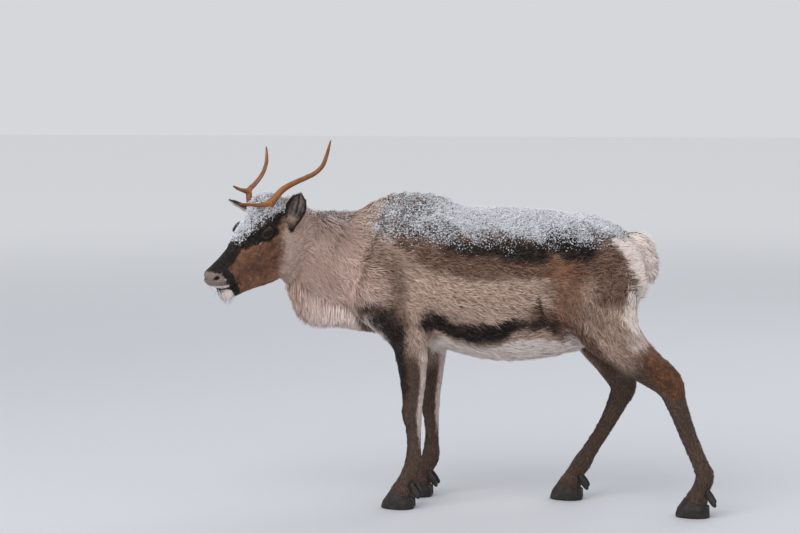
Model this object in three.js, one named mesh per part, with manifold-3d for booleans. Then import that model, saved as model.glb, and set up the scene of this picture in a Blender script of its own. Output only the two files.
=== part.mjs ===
// A reindeer cow in winter coat, life size, standing with its head turned to its left.
// Millimetres, +Z up, the head towards -X, the animal's left side towards -Y, all hooves on the floor at Z = 0.
// The body is one smooth form of oval limbs melted together, wrapped by rings and parted with thin cuts.
import * as THREE from 'three';
import { mergeVertices } from 'three/addons/utils/BufferGeometryUtils.js';
import Module from 'manifold-3d';

const wasm = await Module();
wasm.setup();

// Driving sizes
const WITHERS_HEIGHT = 985; // floor to the top of the coat over the shoulders
const CANON_HEIGHT = 985; // the withers height that the tables of proportions below are written for
const GROW = WITHERS_HEIGHT / CANON_HEIGHT;
const GAP = 0.3; // air between neighbouring pieces

// The head is turned to the left and the face hangs down from the level.
const HEAD_TURN = 50;
const HEAD_PITCH = 24;
const POLL = [-437, -100, 884]; // where the skull sits on the neck

const LEFT = -1;
const RIGHT = 1;
const SIDES = { left: LEFT, right: RIGHT };

// Coat colours of the sub-parts, as they average out
const COLOURS = {
  flank: 0x8a7466,
  neck: 0xb5a79c,
  face: 0x6b4a38,
  leg: 0x4f4038,
  rump: 0xd8cfc6,
  ear: 0x5d5048,
  antler: 0xa8672a,
  hoof: 0x2a2522,
  eye: 0x15100e,
};

const vector = (p) => new THREE.Vector3(p[0], p[1], p[2]);
const scaled = (p) => p.map((c) => c * GROW);
const radians = THREE.MathUtils.degToRad;
const mix = (a, b, t) => a + (b - a) * t;

// One station of an oval limb: its centre, its half width to the side and its half depth.
const station = (x, y, z, wide, deep) => ({ at: scaled([x, y, z]), wide: wide * GROW, deep: deep * GROW });

// Signed distance, near enough, from a point in an oval's own axes to the oval.
function ovalDistance(u, v, w, ru, rv, rw) {
  const near = Math.hypot(u / ru, v / rv, w / rw);
  const slope = Math.hypot(u / (ru * ru), v / (rv * rv), w / (rw * rw));
  return slope < 1e-9 ? -Math.min(ru, rv, rw) : (near * (near - 1)) / slope;
}

// A limb of oval section that follows a smooth curve through its stations, with rounded ends.
class Limb {
  constructor(stations, { side = [0, 1, 0], steps = 4, cap = null } = {}) {
    const path = new THREE.CatmullRomCurve3(stations.map((s) => vector(s.at)), false, 'catmullrom', 0.5);
    const sizes = new THREE.CatmullRomCurve3(
      stations.map((s) => new THREE.Vector3(s.wide, s.deep, 0)), false, 'catmullrom', 0.5);
    const count = (stations.length - 1) * steps;
    this.pieces = [];
    for (let i = 0; i < count; i++) {
      const a = path.getPoint(i / count);
      const b = path.getPoint((i + 1) / count);
      const ra = sizes.getPoint(i / count);
      const rb = sizes.getPoint((i + 1) / count);
      const along = b.clone().sub(a);
      const length = along.length();
      along.normalize();
      const deep = along.clone().cross(vector(side)).normalize();
      const wide = deep.clone().cross(along).normalize();
      const end = cap === null ? Math.min(ra.x, ra.y, rb.x, rb.y) : cap * GROW;
      this.pieces.push({ a, along, length, deep, wide, ra, rb, end });
    }
    this.ball = new THREE.Sphere().setFromPoints(stations.map((s) => vector(s.at)));
    this.ball.radius += Math.max(...stations.map((s) => Math.max(s.wide, s.deep)));
  }

  distance(x, y, z) {
    let least = Infinity;
    for (const p of this.pieces) {
      const dx = x - p.a.x;
      const dy = y - p.a.y;
      const dz = z - p.a.z;
      const reach = dx * p.along.x + dy * p.along.y + dz * p.along.z;
      const t = Math.min(1, Math.max(0, reach / p.length));
      const u = dx * p.wide.x + dy * p.wide.y + dz * p.wide.z;
      const v = dx * p.deep.x + dy * p.deep.y + dz * p.deep.z;
      const d = ovalDistance(u, v, reach - t * p.length, mix(p.ra.x, p.rb.x, t), mix(p.ra.y, p.rb.y, t), p.end);
      if (d < least) least = d;
    }
    return least;
  }
}

// A single oval with its own axes.
class Oval {
  constructor(at, radii, axes) {
    this.at = at;
    this.radii = radii;
    this.axes = axes;
    this.ball = new THREE.Sphere(at, Math.max(...radii));
  }

  distance(x, y, z) {
    const d = new THREE.Vector3(x, y, z).sub(this.at);
    return ovalDistance(...this.axes.map((axis) => d.dot(axis)), ...this.radii);
  }
}

// A form is a list of [shape, melt]: each shape melts into the ones before it over that many millimetres.
function formOf(shapes) {
  const probe = new THREE.Vector3();
  return (x, y, z) => {
    let d = Infinity;
    probe.set(x, y, z);
    for (const [shape, melt] of shapes) {
      if (d < Infinity && probe.distanceTo(shape.ball.center) - shape.ball.radius > Math.max(d, 0) + melt) continue;
      const e = shape.distance(x, y, z);
      const h = Math.max(0, melt - Math.abs(d - e)) / melt;
      d = d === Infinity ? e : Math.min(d, e) - (h * h * melt) / 4;
    }
    return d;
  };
}

// Axes of the head: forward along the face, to the animal's left, and up out of the skull.
const HEAD_FORWARD = new THREE.Vector3(
  -Math.cos(radians(HEAD_TURN)) * Math.cos(radians(HEAD_PITCH)),
  -Math.sin(radians(HEAD_TURN)) * Math.cos(radians(HEAD_PITCH)),
  -Math.sin(radians(HEAD_PITCH)));
const HEAD_LEFT = new THREE.Vector3(0, 0, 1).cross(HEAD_FORWARD).normalize();
const HEAD_UP = HEAD_FORWARD.clone().cross(HEAD_LEFT);
const HEAD_AXES = [HEAD_FORWARD, HEAD_LEFT, HEAD_UP];

// A point of the head, measured forward from the poll, to the left and up.
const inHead = (forward, left, up) => vector(scaled(POLL))
  .addScaledVector(HEAD_FORWARD, forward * GROW)
  .addScaledVector(HEAD_LEFT, left * GROW)
  .addScaledVector(HEAD_UP, up * GROW);
const headStation = (forward, up, wide, deep) => ({
  at: inHead(forward, 0, up).toArray(), wide: wide * GROW, deep: deep * GROW,
});
const headLimb = (stations, cap) => new Limb(stations, { side: HEAD_LEFT.toArray(), cap });
const headOval = (forward, left, up, radii) => new Oval(inHead(forward, left, up), scaled(radii), HEAD_AXES);

// Trunk: brisket, shoulders, withers, girth, belly, flank, rump and seat
const BARREL = [
  station(-215, 0, 700, 70, 95),
  station(-135, 0, 728, 112, 205),
  station(-50, 0, 738, 136, 247),
  station(70, 0, 716, 158, 232),
  station(230, 0, 697, 176, 245),
  station(400, 0, 706, 160, 230),
  station(530, 0, 738, 136, 186),
  station(618, 0, 752, 98, 118),
];
const NECK = [
  station(-120, 0, 752, 110, 195),
  station(-200, -8, 750, 100, 182),
  station(-300, -38, 774, 84, 156),
  station(-385, -76, 808, 74, 131),
  station(-440, -102, 842, 68, 92),
];
// The long white hair of the throat, from under the jaw to the brisket
const MANE = [
  station(-420, -92, 730, 36, 36),
  station(-396, -80, 668, 42, 36),
  station(-358, -62, 622, 46, 54),
  station(-290, -34, 612, 52, 50),
  station(-220, -12, 606, 60, 54),
  station(-150, 0, 598, 62, 50),
];
const shoulder = (side) => [
  station(-70, side * 72, 860, 48, 80),
  station(-130, side * 92, 760, 56, 86),
  station(-165, side * 100, 668, 56, 78),
  station(-95, side * 108, 590, 52, 70),
];
const haunch = (side) => [
  station(455, side * 72, 830, 62, 80),
  station(520, side * 96, 760, 74, 118),
  station(545, side * 108, 690, 72, 132),
];

// Legs, down to the fetlock and the top of the hoof
const foreleg = (side, reach) => [
  station(-118, side * 96, 640, 38, 56),
  station(-68, side * 107, 568, 46, 65),
  station(-45 + reach, side * 111, 500, 42, 59),
  station(-39 + reach, side * 108, 400, 33, 44),
  station(-40 + reach, side * 106, 335, 30, 35),
  station(-42 + reach, side * 105, 298, 31, 35),
  station(-38 + reach, side * 105, 255, 25, 28),
  station(-36 + reach, side * 105, 195, 23, 25),
  station(-40 + reach, side * 105, 128, 28, 31),
  station(-62 + reach, side * 105, 82, 27, 28),
  station(-76 + reach, side * 105, 44, 36, 38),
];
const HIND_BACK = [
  station(520, -74, 770, 48, 92),
  station(542, -100, 688, 56, 112),
  station(556, -124, 602, 62, 108),
  station(602, -128, 532, 54, 80),
  station(675, -124, 468, 41, 60),
  station(748, -120, 412, 33, 50),
  station(775, -119, 350, 27, 36),
  station(808, -118, 262, 24, 30),
  station(846, -118, 172, 24, 28),
  station(864, -118, 126, 28, 32),
  station(852, -118, 82, 27, 29),
  station(838, -118, 44, 36, 38),
];
const HIND_FORWARD = [
  station(515, 74, 770, 48, 92),
  station(505, 100, 690, 56, 112),
  station(496, 124, 602, 60, 104),
  station(520, 128, 520, 52, 76),
  station(566, 124, 440, 39, 55),
  station(604, 121, 372, 32, 47),
  station(585, 120, 310, 26, 35),
  station(545, 119, 230, 23, 28),
  station(502, 118, 160, 24, 28),
  station(478, 118, 120, 28, 32),
  station(452, 118, 80, 27, 29),
  station(436, 118, 44, 36, 38),
];
const TAIL = [
  station(622, 0, 852, 38, 30),
  station(662, 0, 818, 33, 25),
  station(684, 0, 762, 30, 22),
  station(687, 0, 696, 22, 16),
];

// Skull, face, lower jaw, cheeks, brows and nostrils
const CRANIUM = [
  headStation(0, 0, 68, 90),
  headStation(60, 0, 72, 96),
  headStation(115, 2, 68, 88),
  headStation(165, -6, 56, 72),
];
const FACE = [
  headStation(140, 6, 55, 60),
  headStation(205, -8, 44, 54),
  headStation(262, -19, 38, 47),
  headStation(300, -24, 37, 43),
  headStation(316, -29, 35, 38),
];
const JAW = [
  headStation(55, -88, 48, 44),
  headStation(120, -98, 42, 39),
  headStation(195, -92, 34, 30),
  headStation(250, -87, 30, 25),
  headStation(308, -84, 29, 23),
];
const EYE_AT = [126, 62, 41];
const EYE_RADIUS = 17.5 * GROW;

const headShapes = [
  [headLimb(CRANIUM), 20],
  [headOval(52, 0, 80, [56, 46, 48]), 24],
  [headLimb(FACE, 24), 24],
  [headLimb(JAW, 18), 22],
];
for (const side of [1, -1]) {
  headShapes.push([headOval(78, side * 36, -48, [60, 30, 58]), 26]);
  headShapes.push([headOval(126, side * 56, 46, [36, 20, 24]), 16]);
  headShapes.push([headOval(314, side * 21, -22, [29, 22, 26]), 14]);
}

// Under the long hair of throat and tail there is a core that reaches less than half way to the tips.
const CORE_SHARE = 0.45;
const CORE_WIDTH = 0.72;
const core = (stations, lift) => stations.map(({ at, wide, deep }) => ({
  at: at.map((c, i) => c + lift[i] * GROW), wide: wide * CORE_WIDTH, deep: deep * CORE_SHARE,
}));
const MANE_LIFT = [0, 0, 26]; // from the middle of the long hair to the middle of its core
const TAIL_LIFT = [-7, 0, 4];

const trunkShapes = [[new Limb(BARREL, { cap: 66 }), 30], [new Limb(NECK), 70]];
for (const side of [LEFT, RIGHT]) {
  trunkShapes.push([new Limb(shoulder(side)), 50]);
  trunkShapes.push([new Limb(haunch(side)), 60]);
}
const headAndTrunk = [...trunkShapes, ...headShapes.map(([shape, melt], i) => [shape, i ? melt : 50])];
const coreForm = formOf([...headAndTrunk, [new Limb(core(MANE, MANE_LIFT)), 30]]);
const coatForm = formOf([...headAndTrunk, [new Limb(MANE), 40]]);

// Distance along a ray at which a form first reaches a level, or the whole reach.
function crossing(form, from, way, reach, level) {
  const steps = 28;
  const at = (r) => form(from.x + way.x * r, from.y + way.y * r, from.z + way.z * r) - level;
  for (let i = 1; i <= steps; i++) {
    if (at((reach * i) / steps) <= 0) continue;
    let low = (reach * (i - 1)) / steps;
    let high = (reach * i) / steps;
    for (let k = 0; k < 16; k++) {
      const middle = (low + high) / 2;
      if (at(middle) <= 0) low = middle;
      else high = middle;
    }
    return (low + high) / 2;
  }
  return reach;
}

// A ring lies in a plane across the body: its centre, the way that the plane faces and how far its rays look.
function ring(at, facing, side, reach) {
  const u = side.clone().addScaledVector(facing, -side.dot(facing)).normalize();
  return { at: at.clone(), u, v: facing.clone().cross(u).normalize(), reach };
}

// Rings spread evenly between key rings, eased along a smooth curve.
function ringsBetween(keys, count, ease = (t) => t) {
  const path = new THREE.CatmullRomCurve3(keys.map((k) => k.at), false, 'centripetal');
  const last = keys.length - 1;
  return Array.from({ length: count + 1 }, (_, i) => {
    const t = ease(i / count);
    const at = path.getPoint(t);
    const k = Math.min(last - 1, Math.floor(t * last));
    const f = t * last - k;
    const facing = keys[k].facing.clone().lerp(keys[k + 1].facing, f).normalize();
    const side = keys[k].side.clone().lerp(keys[k + 1].side, f);
    return ring(at, facing, side, mix(keys[k].reach, keys[k + 1].reach, f));
  });
}

// Wraps a form with rings: each ring's rays end on the form. A pole closes the end, or else both ends are flat.
function wrap(form, rings, segments, { level = 0, pole = null } = {}) {
  const points = [];
  for (const r of rings)
    for (let k = 0; k < segments; k++) {
      const angle = (2 * Math.PI * k) / segments;
      const way = r.u.clone().multiplyScalar(Math.cos(angle)).addScaledVector(r.v, Math.sin(angle));
      points.push(r.at.clone().addScaledVector(way, crossing(form, r.at, way, r.reach, level)));
    }
  return closedTube(points, rings.length, segments, rings[0].at, pole ?? rings[rings.length - 1].at);
}

// A closed surface of rings of points, with a fan to a middle point at either end, faces out.
function closedTube(points, ringCount, segments, first, last) {
  const faces = [];
  for (let i = 0; i + 1 < ringCount; i++)
    for (let k = 0; k < segments; k++) {
      const a = i * segments + k;
      const b = i * segments + ((k + 1) % segments);
      faces.push(a, b, b + segments, a, b + segments, a + segments);
    }
  const lastRing = (ringCount - 1) * segments;
  for (let k = 0; k < segments; k++) {
    const next = (k + 1) % segments;
    faces.push(points.length, next, k);
    faces.push(points.length + 1, lastRing + k, lastRing + next);
  }
  const all = [...points, first, last];
  const geometry = new THREE.BufferGeometry().setFromPoints(all);
  geometry.setIndex(faces);
  return outward(geometry);
}

// Turns the faces of a closed geometry outwards.
function outward(geometry) {
  const p = geometry.getAttribute('position');
  const index = geometry.index.array;
  const [a, b, c] = [new THREE.Vector3(), new THREE.Vector3(), new THREE.Vector3()];
  let volume = 0;
  for (let i = 0; i < index.length; i += 3) {
    a.fromBufferAttribute(p, index[i]);
    b.fromBufferAttribute(p, index[i + 1]);
    c.fromBufferAttribute(p, index[i + 2]);
    volume += a.dot(b.cross(c));
  }
  if (volume < 0)
    for (let i = 0; i < index.length; i += 3) [index[i + 1], index[i + 2]] = [index[i + 2], index[i + 1]];
  return geometry;
}

// Solids, joins and cuts
function solid(geometry) {
  const bare = geometry.index ? geometry.toNonIndexed() : geometry.clone();
  bare.deleteAttribute('normal');
  bare.deleteAttribute('uv');
  const merged = mergeVertices(bare, 1e-3);
  return new wasm.Manifold(new wasm.Mesh({
    numProp: 3,
    vertProperties: new Float32Array(merged.getAttribute('position').array),
    triVerts: new Uint32Array(merged.index.array),
  }));
}

function largest(body) {
  return body.decompose().reduce((best, each) => (each.volume() > best.volume() ? each : best));
}

const root = new THREE.Group();

function addNode(name, body, colour, roughness = 0.9) {
  const { vertProperties, triVerts, numProp } = largest(body).getMesh();
  const positions = new Float32Array((vertProperties.length / numProp) * 3);
  for (let i = 0; i < positions.length / 3; i++)
    for (let c = 0; c < 3; c++) positions[i * 3 + c] = vertProperties[i * numProp + c];
  const geometry = new THREE.BufferGeometry();
  geometry.setAttribute('position', new THREE.BufferAttribute(positions, 3));
  geometry.setIndex(new THREE.BufferAttribute(new Uint32Array(triVerts), 1));
  const mesh = new THREE.Mesh(geometry, new THREE.MeshStandardMaterial({ color: colour, roughness }));
  mesh.name = name;
  root.add(mesh);
}

// The cuts between torso, neck and head, each a point and the way that the cut faces
const SIDEWAYS = new THREE.Vector3(0, 1, 0);
const NECK_CUT = { at: vector(scaled([-188, -6, 748])), facing: new THREE.Vector3(-0.965, -0.08, 0.25).normalize() };
const HEAD_CUT = { at: inHead(-30, 0, 0), facing: new THREE.Vector3(-0.68, -0.72, 0.12).normalize() };
const beyond = (cut, p) => cut.facing.dot(p) - cut.facing.dot(cut.at);
const cutRing = (cut, side, reach, shift = 0) => ({
  at: cut.at.clone().addScaledVector(cut.facing, shift), facing: cut.facing, side, reach,
});
const keyRing = (x, y, z, facing, reach) => ({
  at: vector(scaled([x, y, z])), facing: vector(facing).normalize(), side: SIDEWAYS, reach: reach * GROW,
});
// Towards the head the side of a ring turns with it.
const HEAD_SIDE = HEAD_LEFT.clone().negate();

const TRUNK_SEGMENTS = 30;
const BODY_REACH = 350;
const trunkKeys = [
  cutRing(NECK_CUT, SIDEWAYS, BODY_REACH, -GAP / 2),
  keyRing(-80, 0, 742, [-1, 0, 0.05], BODY_REACH),
  keyRing(120, 0, 715, [-1, 0, 0], BODY_REACH),
  keyRing(340, 0, 712, [-1, 0, 0], BODY_REACH),
  keyRing(520, 0, 745, [-1, 0, 0], BODY_REACH),
  keyRing(640, 0, 765, [-1, 0, 0], BODY_REACH),
];
const RUMP_POLE = vector(scaled([700, 0, 775]));

function trunkSolid(level = 0) {
  const rings = ringsBetween(trunkKeys, 20);
  for (const share of [0.45, 0.75, 0.93]) {
    const last = rings[20];
    rings.push(ring(last.at.clone().lerp(rumpTip(), share), new THREE.Vector3(-1, 0, 0), SIDEWAYS, last.reach));
  }
  return solid(wrap(coreForm, rings, TRUNK_SEGMENTS, { level, pole: rumpTip(level) }));
}

function rumpTip(level = 0) {
  const from = vector(scaled([600, 0, 775]));
  const way = new THREE.Vector3(1, 0, 0);
  return from.clone().addScaledVector(way, crossing(coreForm, from, way, 200, level));
}

// Neck
const neckKeys = [
  cutRing(NECK_CUT, SIDEWAYS, BODY_REACH, GAP / 2),
  {
    at: vector(scaled([-305, -40, 776])),
    facing: NECK_CUT.facing.clone().lerp(HEAD_CUT.facing, 0.45).normalize(),
    side: SIDEWAYS.clone().lerp(HEAD_SIDE, 0.45), reach: 260,
  },
  cutRing(HEAD_CUT, HEAD_SIDE, BODY_REACH, -GAP / 2),
];
const neckSolid = () => solid(wrap(coreForm, ringsBetween(neckKeys, 9), 30));

// Head
const NOSE_TIP_UP = -26;
const NOSE_RINGS = [0.35, 0.65, 0.86, 0.96];
function headSolid(level = 0) {
  const keys = [
    cutRing(HEAD_CUT, HEAD_SIDE, 260, GAP / 2),
    { at: inHead(82, 0, -14), facing: HEAD_FORWARD, side: HEAD_SIDE, reach: 200 },
    { at: inHead(150, 0, -20), facing: HEAD_FORWARD, side: HEAD_SIDE, reach: 160 },
    { at: inHead(220, 0, -32), facing: HEAD_FORWARD, side: HEAD_SIDE, reach: 130 },
    { at: inHead(290, 0, -44), facing: HEAD_FORWARD, side: HEAD_SIDE, reach: 110 },
  ];
  const rings = ringsBetween(keys, 18);
  const from = inHead(290, 0, -44);
  const tip = inHead(290, 0, NOSE_TIP_UP);
  tip.addScaledVector(HEAD_FORWARD, crossing(coreForm, tip, HEAD_FORWARD, 150, level));
  for (const share of NOSE_RINGS)
    rings.push(ring(from.clone().lerp(tip, share), HEAD_FORWARD, HEAD_SIDE, 110));
  return solid(wrap(coreForm, rings, 30, { level, pole: tip }));
}

// Long hair
// A seeded draw between 0 and 1, the same on every run
function seeded(seed) {
  let state = seed;
  return () => {
    state = (state * 1664525 + 1013904223) % 4294967296;
    return state / 4294967296;
  };
}

// A lock of hair: a flat tube that swells from its root and tapers to its tip, bent from root over bend to tip.
const LOCK_SHARES = [0, 0.3, 0.58, 0.82];
const LOCK_SWELL = [0.8, 1.05, 0.9, 0.52];
function lock(root, bend, tip, out, width, thickness) {
  const curve = new THREE.QuadraticBezierCurve3(root, bend, tip);
  const points = [];
  LOCK_SHARES.forEach((t, i) => {
    const along = curve.getTangent(t);
    const across = along.clone().cross(out).normalize();
    const up = across.clone().cross(along);
    for (const [a, b] of [[1, 0], [0, 1], [-1, 0], [0, -1]])
      points.push(curve.getPoint(t)
        .addScaledVector(across, (a * LOCK_SWELL[i] * width) / 2)
        .addScaledVector(up, (b * LOCK_SWELL[i] * thickness) / 2));
  });
  return solid(closedTube(points, LOCK_SHARES.length, 4, curve.getPoint(0), curve.getPoint(1)));
}

// Locks along a limb of long hair: rows from its start to its end, spread round its underside. Each is rooted in
// the core and hangs out to the coat's own outline, drawn down and a little back.
const ROOT_SINK = 16;
function locksAlong(stations, hair) {
  const { rows, turns, spread, width, thickness, under, outline, lift, faces, lie, lean, draw, length } = hair;
  const path = new THREE.CatmullRomCurve3(stations.map((s) => vector(s.at)), false, 'catmullrom', 0.5);
  const made = [];
  for (let i = 0; i < rows; i++)
    for (let k = 0; k < turns; k++) {
      const shift = (i % 2) * 0.5;
      const t = THREE.MathUtils.clamp((i + 0.3 + 0.4 * draw()) / rows, 0.01, 0.99);
      const angle = radians(mix(-spread, spread, (k + 0.25 + shift * 0.5 + 0.25 * draw()) / turns));
      const from = path.getPoint(t).add(vector(scaled(lift)));
      const along = path.getTangent(t);
      const ahead = faces.clone().addScaledVector(along, -faces.dot(along)).normalize();
      const out = ahead.clone().multiplyScalar(Math.cos(angle))
        .addScaledVector(along.clone().cross(ahead), Math.sin(angle)).normalize();
      const skin = crossing(under, from, out, 200 * GROW, 0);
      const root = from.clone().addScaledVector(out, Math.max(0, skin - ROOT_SINK * GROW));
      const hang = lie.clone().addScaledVector(out, lean * (0.85 + 0.3 * draw())).normalize();
      const start = from.clone().addScaledVector(out, skin);
      if (beyond(HEAD_CUT, start) > -GAP) continue;
      const reach = crossing(outline, start, hang, 150 * GROW, 0);
      const long = Math.max(length * (0.8 + 0.3 * draw()) * GROW, reach * (0.96 + 0.06 * draw()));
      const tip = start.clone().addScaledVector(hang, Math.min(long, reach * 1.03));
      const bend = start.clone().addScaledVector(hang, long * 0.3).addScaledVector(out, 7 * GROW);
      made.push(lock(root, bend, tip, out, width * (0.85 + 0.3 * draw()) * GROW, thickness * GROW));
    }
  return made;
}

const MANE_LOCKS = {
  rows: 11, turns: 6, spread: 92, width: 33, thickness: 9, length: 62, lift: MANE_LIFT, lean: 0.62,
  under: coreForm, outline: coatForm, faces: new THREE.Vector3(0, 0, -1),
  lie: new THREE.Vector3(0.12, 0, -1).normalize(), draw: seeded(7),
};
const tailCore = formOf([[new Limb(core(TAIL, TAIL_LIFT)), 1]]);
const TAIL_LOCKS = {
  rows: 4, turns: 4, spread: 100, width: 24, thickness: 7, length: 52, lift: TAIL_LIFT, lean: 0.3,
  under: tailCore, outline: formOf([[new Limb(TAIL), 1]]), faces: new THREE.Vector3(1, 0, 0),
  lie: new THREE.Vector3(0.05, 0, -1).normalize(), draw: seeded(11),
};

// Head details
const EYES = { left: 1, right: -1 };
const eyeCentre = (side) => inHead(EYE_AT[0], side * EYE_AT[1], EYE_AT[2]);

// A ball or oval of revolution in the head's own axes, turned about the way up by an angle.
function ovalSolid(at, radii, axes = HEAD_AXES, across = 20, down = 12) {
  const geometry = new THREE.SphereGeometry(1, across, down);
  const basis = new THREE.Matrix4().makeBasis(...axes.map((axis, i) => axis.clone().multiplyScalar(radii[i] * GROW)));
  geometry.applyMatrix4(basis.setPosition(at));
  return solid(outward(geometry));
}

// A tube of even sides along a curve, with a radius for each share of its length.
function tube(points, radiusAt, { rings = 16, sides = 8, squash = 1, side = null } = {}) {
  const curve = new THREE.CatmullRomCurve3(points, false, 'centripetal');
  const out = [];
  let across = side ? side.clone() : new THREE.Vector3(0, 1, 0);
  for (let i = 0; i <= rings; i++) {
    const t = i / rings;
    const at = curve.getPointAt(t);
    const along = curve.getTangentAt(t);
    across = across.clone().addScaledVector(along, -across.dot(along)).normalize();
    const up = along.clone().cross(across);
    for (let k = 0; k < sides; k++) {
      const angle = (2 * Math.PI * k) / sides;
      out.push(at.clone()
        .addScaledVector(across, Math.cos(angle) * radiusAt(t))
        .addScaledVector(up, Math.sin(angle) * radiusAt(t) * squash));
    }
  }
  return solid(closedTube(out, rings + 1, sides, curve.getPointAt(0), curve.getPointAt(1)));
}

// Points on the side of the muzzle where the lips meet.
const LIP_LINE = [[331, -56], [321, -62], [304, -67], [284, -70], [262, -71], [240, -68]];
const lipPoints = (side, sink) => LIP_LINE.map(([forward, up]) => {
  const from = inHead(forward, 0, up);
  const way = HEAD_LEFT.clone().multiplyScalar(side);
  return from.addScaledVector(way, crossing(coreForm, from, way, 90 * GROW, 0) - sink * GROW);
});

const OPENING_AXES = (side) => {
  const outwards = HEAD_LEFT.clone().multiplyScalar(side).addScaledVector(HEAD_FORWARD, 0.28).normalize();
  const along = HEAD_UP.clone().cross(outwards).normalize();
  const slanted = along.addScaledVector(HEAD_UP, 0.16 * side).normalize();
  return [slanted, outwards, slanted.clone().cross(outwards).normalize()];
};

function detailedHead() {
  let head = headSolid();
  for (const side of [1, -1]) {
    const axes = OPENING_AXES(side);
    const lids = ovalSolid(eyeCentre(side).addScaledVector(axes[1], 1.5), [27, 21.5, 20.5], axes, 20, 12);
    head = wasm.Manifold.union([head, lids]);
  }
  const cuts = [];
  for (const side of [1, -1]) {
    const axes = OPENING_AXES(side);
    cuts.push(ovalSolid(eyeCentre(side).addScaledVector(axes[1], 22), [18.5, 18, 10.5], axes, 16, 8));
    cuts.push(ovalSolid(eyeCentre(side), Array(3).fill(EYE_RADIUS / GROW + GAP), HEAD_AXES, 14, 9));
    cuts.push(ovalSolid(inHead(334, side * 25, -18), [13, 6, 8], HEAD_AXES, 12, 8));
    cuts.push(ovalSolid(inHead(325, side * 36, -10), [13, 7, 4.5], HEAD_AXES, 12, 8));
    cuts.push(tube(lipPoints(side, 0.5), () => 2.4 * GROW, { rings: 10, sides: 5 }));
  }
  return head.subtract(wasm.Manifold.union(cuts));
}

// Ears: cups that open forward and out
const EAR_LENGTH = { left: 112, right: 120 };
const EAR_BASE = { left: [33, 64, 20], right: [33, 64, 38] };
const EAR_WAY = { left: [-34, 62, 96], right: [46, 92, 72] };
const EAR_WIDE = [19, 25, 30, 33, 31, 24, 12];
const EAR_THICK = [16, 17, 16, 14, 11, 8, 5];
const EAR_WALL = 4.5;
const EAR_SIDES = 12;

const inList = (list, share) => {
  const t = THREE.MathUtils.clamp(share, 0, 1) * (list.length - 1);
  const k = Math.min(list.length - 2, Math.floor(t));
  return mix(list[k], list[k + 1], t - k);
};

function ear(name) {
  const side = EYES[name];
  const [forward, left, up] = EAR_WAY[name];
  const way = new THREE.Vector3().addScaledVector(HEAD_FORWARD, forward)
    .addScaledVector(HEAD_LEFT, left * side).addScaledVector(HEAD_UP, up).normalize();
  const open = HEAD_FORWARD.clone().addScaledVector(HEAD_LEFT, 0.55 * side).addScaledVector(HEAD_UP, -0.1);
  open.addScaledVector(way, -open.dot(way)).normalize();
  const across = way.clone().cross(open);
  const [ahead, aside, above] = EAR_BASE[name];
  const base = inHead(ahead, aside * side, above);
  const shell = (wall, forth, from, to, rings) => {
    const points = [];
    const centres = [];
    for (let i = 0; i <= rings; i++) {
      const t = mix(from, to, i / rings);
      const at = base.clone().addScaledVector(way, t * EAR_LENGTH[name] * GROW);
      const wide = (inList(EAR_WIDE, t) - wall) * GROW;
      const thick = Math.max(3, inList(EAR_THICK, t) - wall * 0.8) * GROW;
      at.addScaledVector(open, (forth * inList(EAR_THICK, t) - 10 * t * t) * GROW);
      centres.push(at);
      for (let k = 0; k < EAR_SIDES; k++) {
        const angle = (2 * Math.PI * k) / EAR_SIDES;
        points.push(at.clone().addScaledVector(across, Math.cos(angle) * wide)
          .addScaledVector(open, Math.sin(angle) * thick));
      }
    }
    return solid(closedTube(points, rings + 1, EAR_SIDES, centres[0], centres[rings]));
  };
  return shell(0, 0, -0.25, 0.985, 9).subtract(shell(EAR_WALL, 0.62, 0.14, 0.93, 7));
}

// Antlers: each a beam that sweeps back and up, with one brow tine
const BEAM = {
  left: [[76, 34, 78], [62, 42, 103], [12, 54, 127], [-29, 68, 132], [-67, 82, 132], [-99, 95, 134],
    [-125, 106, 145], [-143, 116, 167], [-157, 124, 190], [-172, 131, 214]],
  right: [[82, 34, 82], [73, 42, 114], [56, 50, 143], [26, 60, 147], [-8, 74, 149], [-46, 90, 156],
    [-79, 104, 172], [-98, 114, 190], [-113, 121, 214]],
};
const BEAM_RADII = [12, 11.4, 9.2, 8, 7.5, 7, 6.4, 5, 2.8];
const BROW = {
  left: [[64, 43, 106], [96, 38, 117], [127, 31, 133], [158, 24, 153]],
  right: [[60, 48, 142], [77, 49, 154], [93, 50, 168], [107, 50, 184]],
};
const BROW_RADII = [9, 7.2, 6, 4.8, 2.6];
const inAntler = (name, [forward, out, up]) => inHead(forward, out * EYES[name], up);

function antler(name) {
  const beamPoints = BEAM[name].map((p) => inAntler(name, p));
  const beam = tube(beamPoints, (t) => inList(BEAM_RADII, t) * GROW, { rings: 21, sides: 8 });
  const grown = tube(beamPoints, (t) => (inList(BEAM_RADII, t) + GAP + 0.1) * GROW, { rings: 21, sides: 8 });
  const tine = tube(BROW[name].map((p) => inAntler(name, p)), (t) => inList(BROW_RADII, t) * GROW,
    { rings: 9, sides: 8 });
  return { beam, tine: tine.subtract(grown) };
}

// Legs
const LEG_SEGMENTS = 12;
const legs = {
  foreleg_left: { stations: foreleg(LEFT, 0), cuts: [0.2, 0.5, 0.8] },
  foreleg_right: { stations: foreleg(RIGHT, 30), cuts: [0.2, 0.5, 0.8] },
  hindleg_left: { stations: HIND_BACK, cuts: [0.25, 0.5, 0.82] },
  hindleg_right: { stations: HIND_FORWARD, cuts: [0.25, 0.5, 0.82] },
};
const SEGMENT_NAMES = {
  foreleg: ['forearm', 'cannon', 'foot'],
  hindleg: ['gaskin', 'cannon', 'foot'],
};
// The top of the hoof slants up towards the toe.
const CORONET_DOWN = new THREE.Vector3(-0.3, 0, -0.954);
const TOE = new THREE.Vector3(-1, 0, 0);

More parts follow.
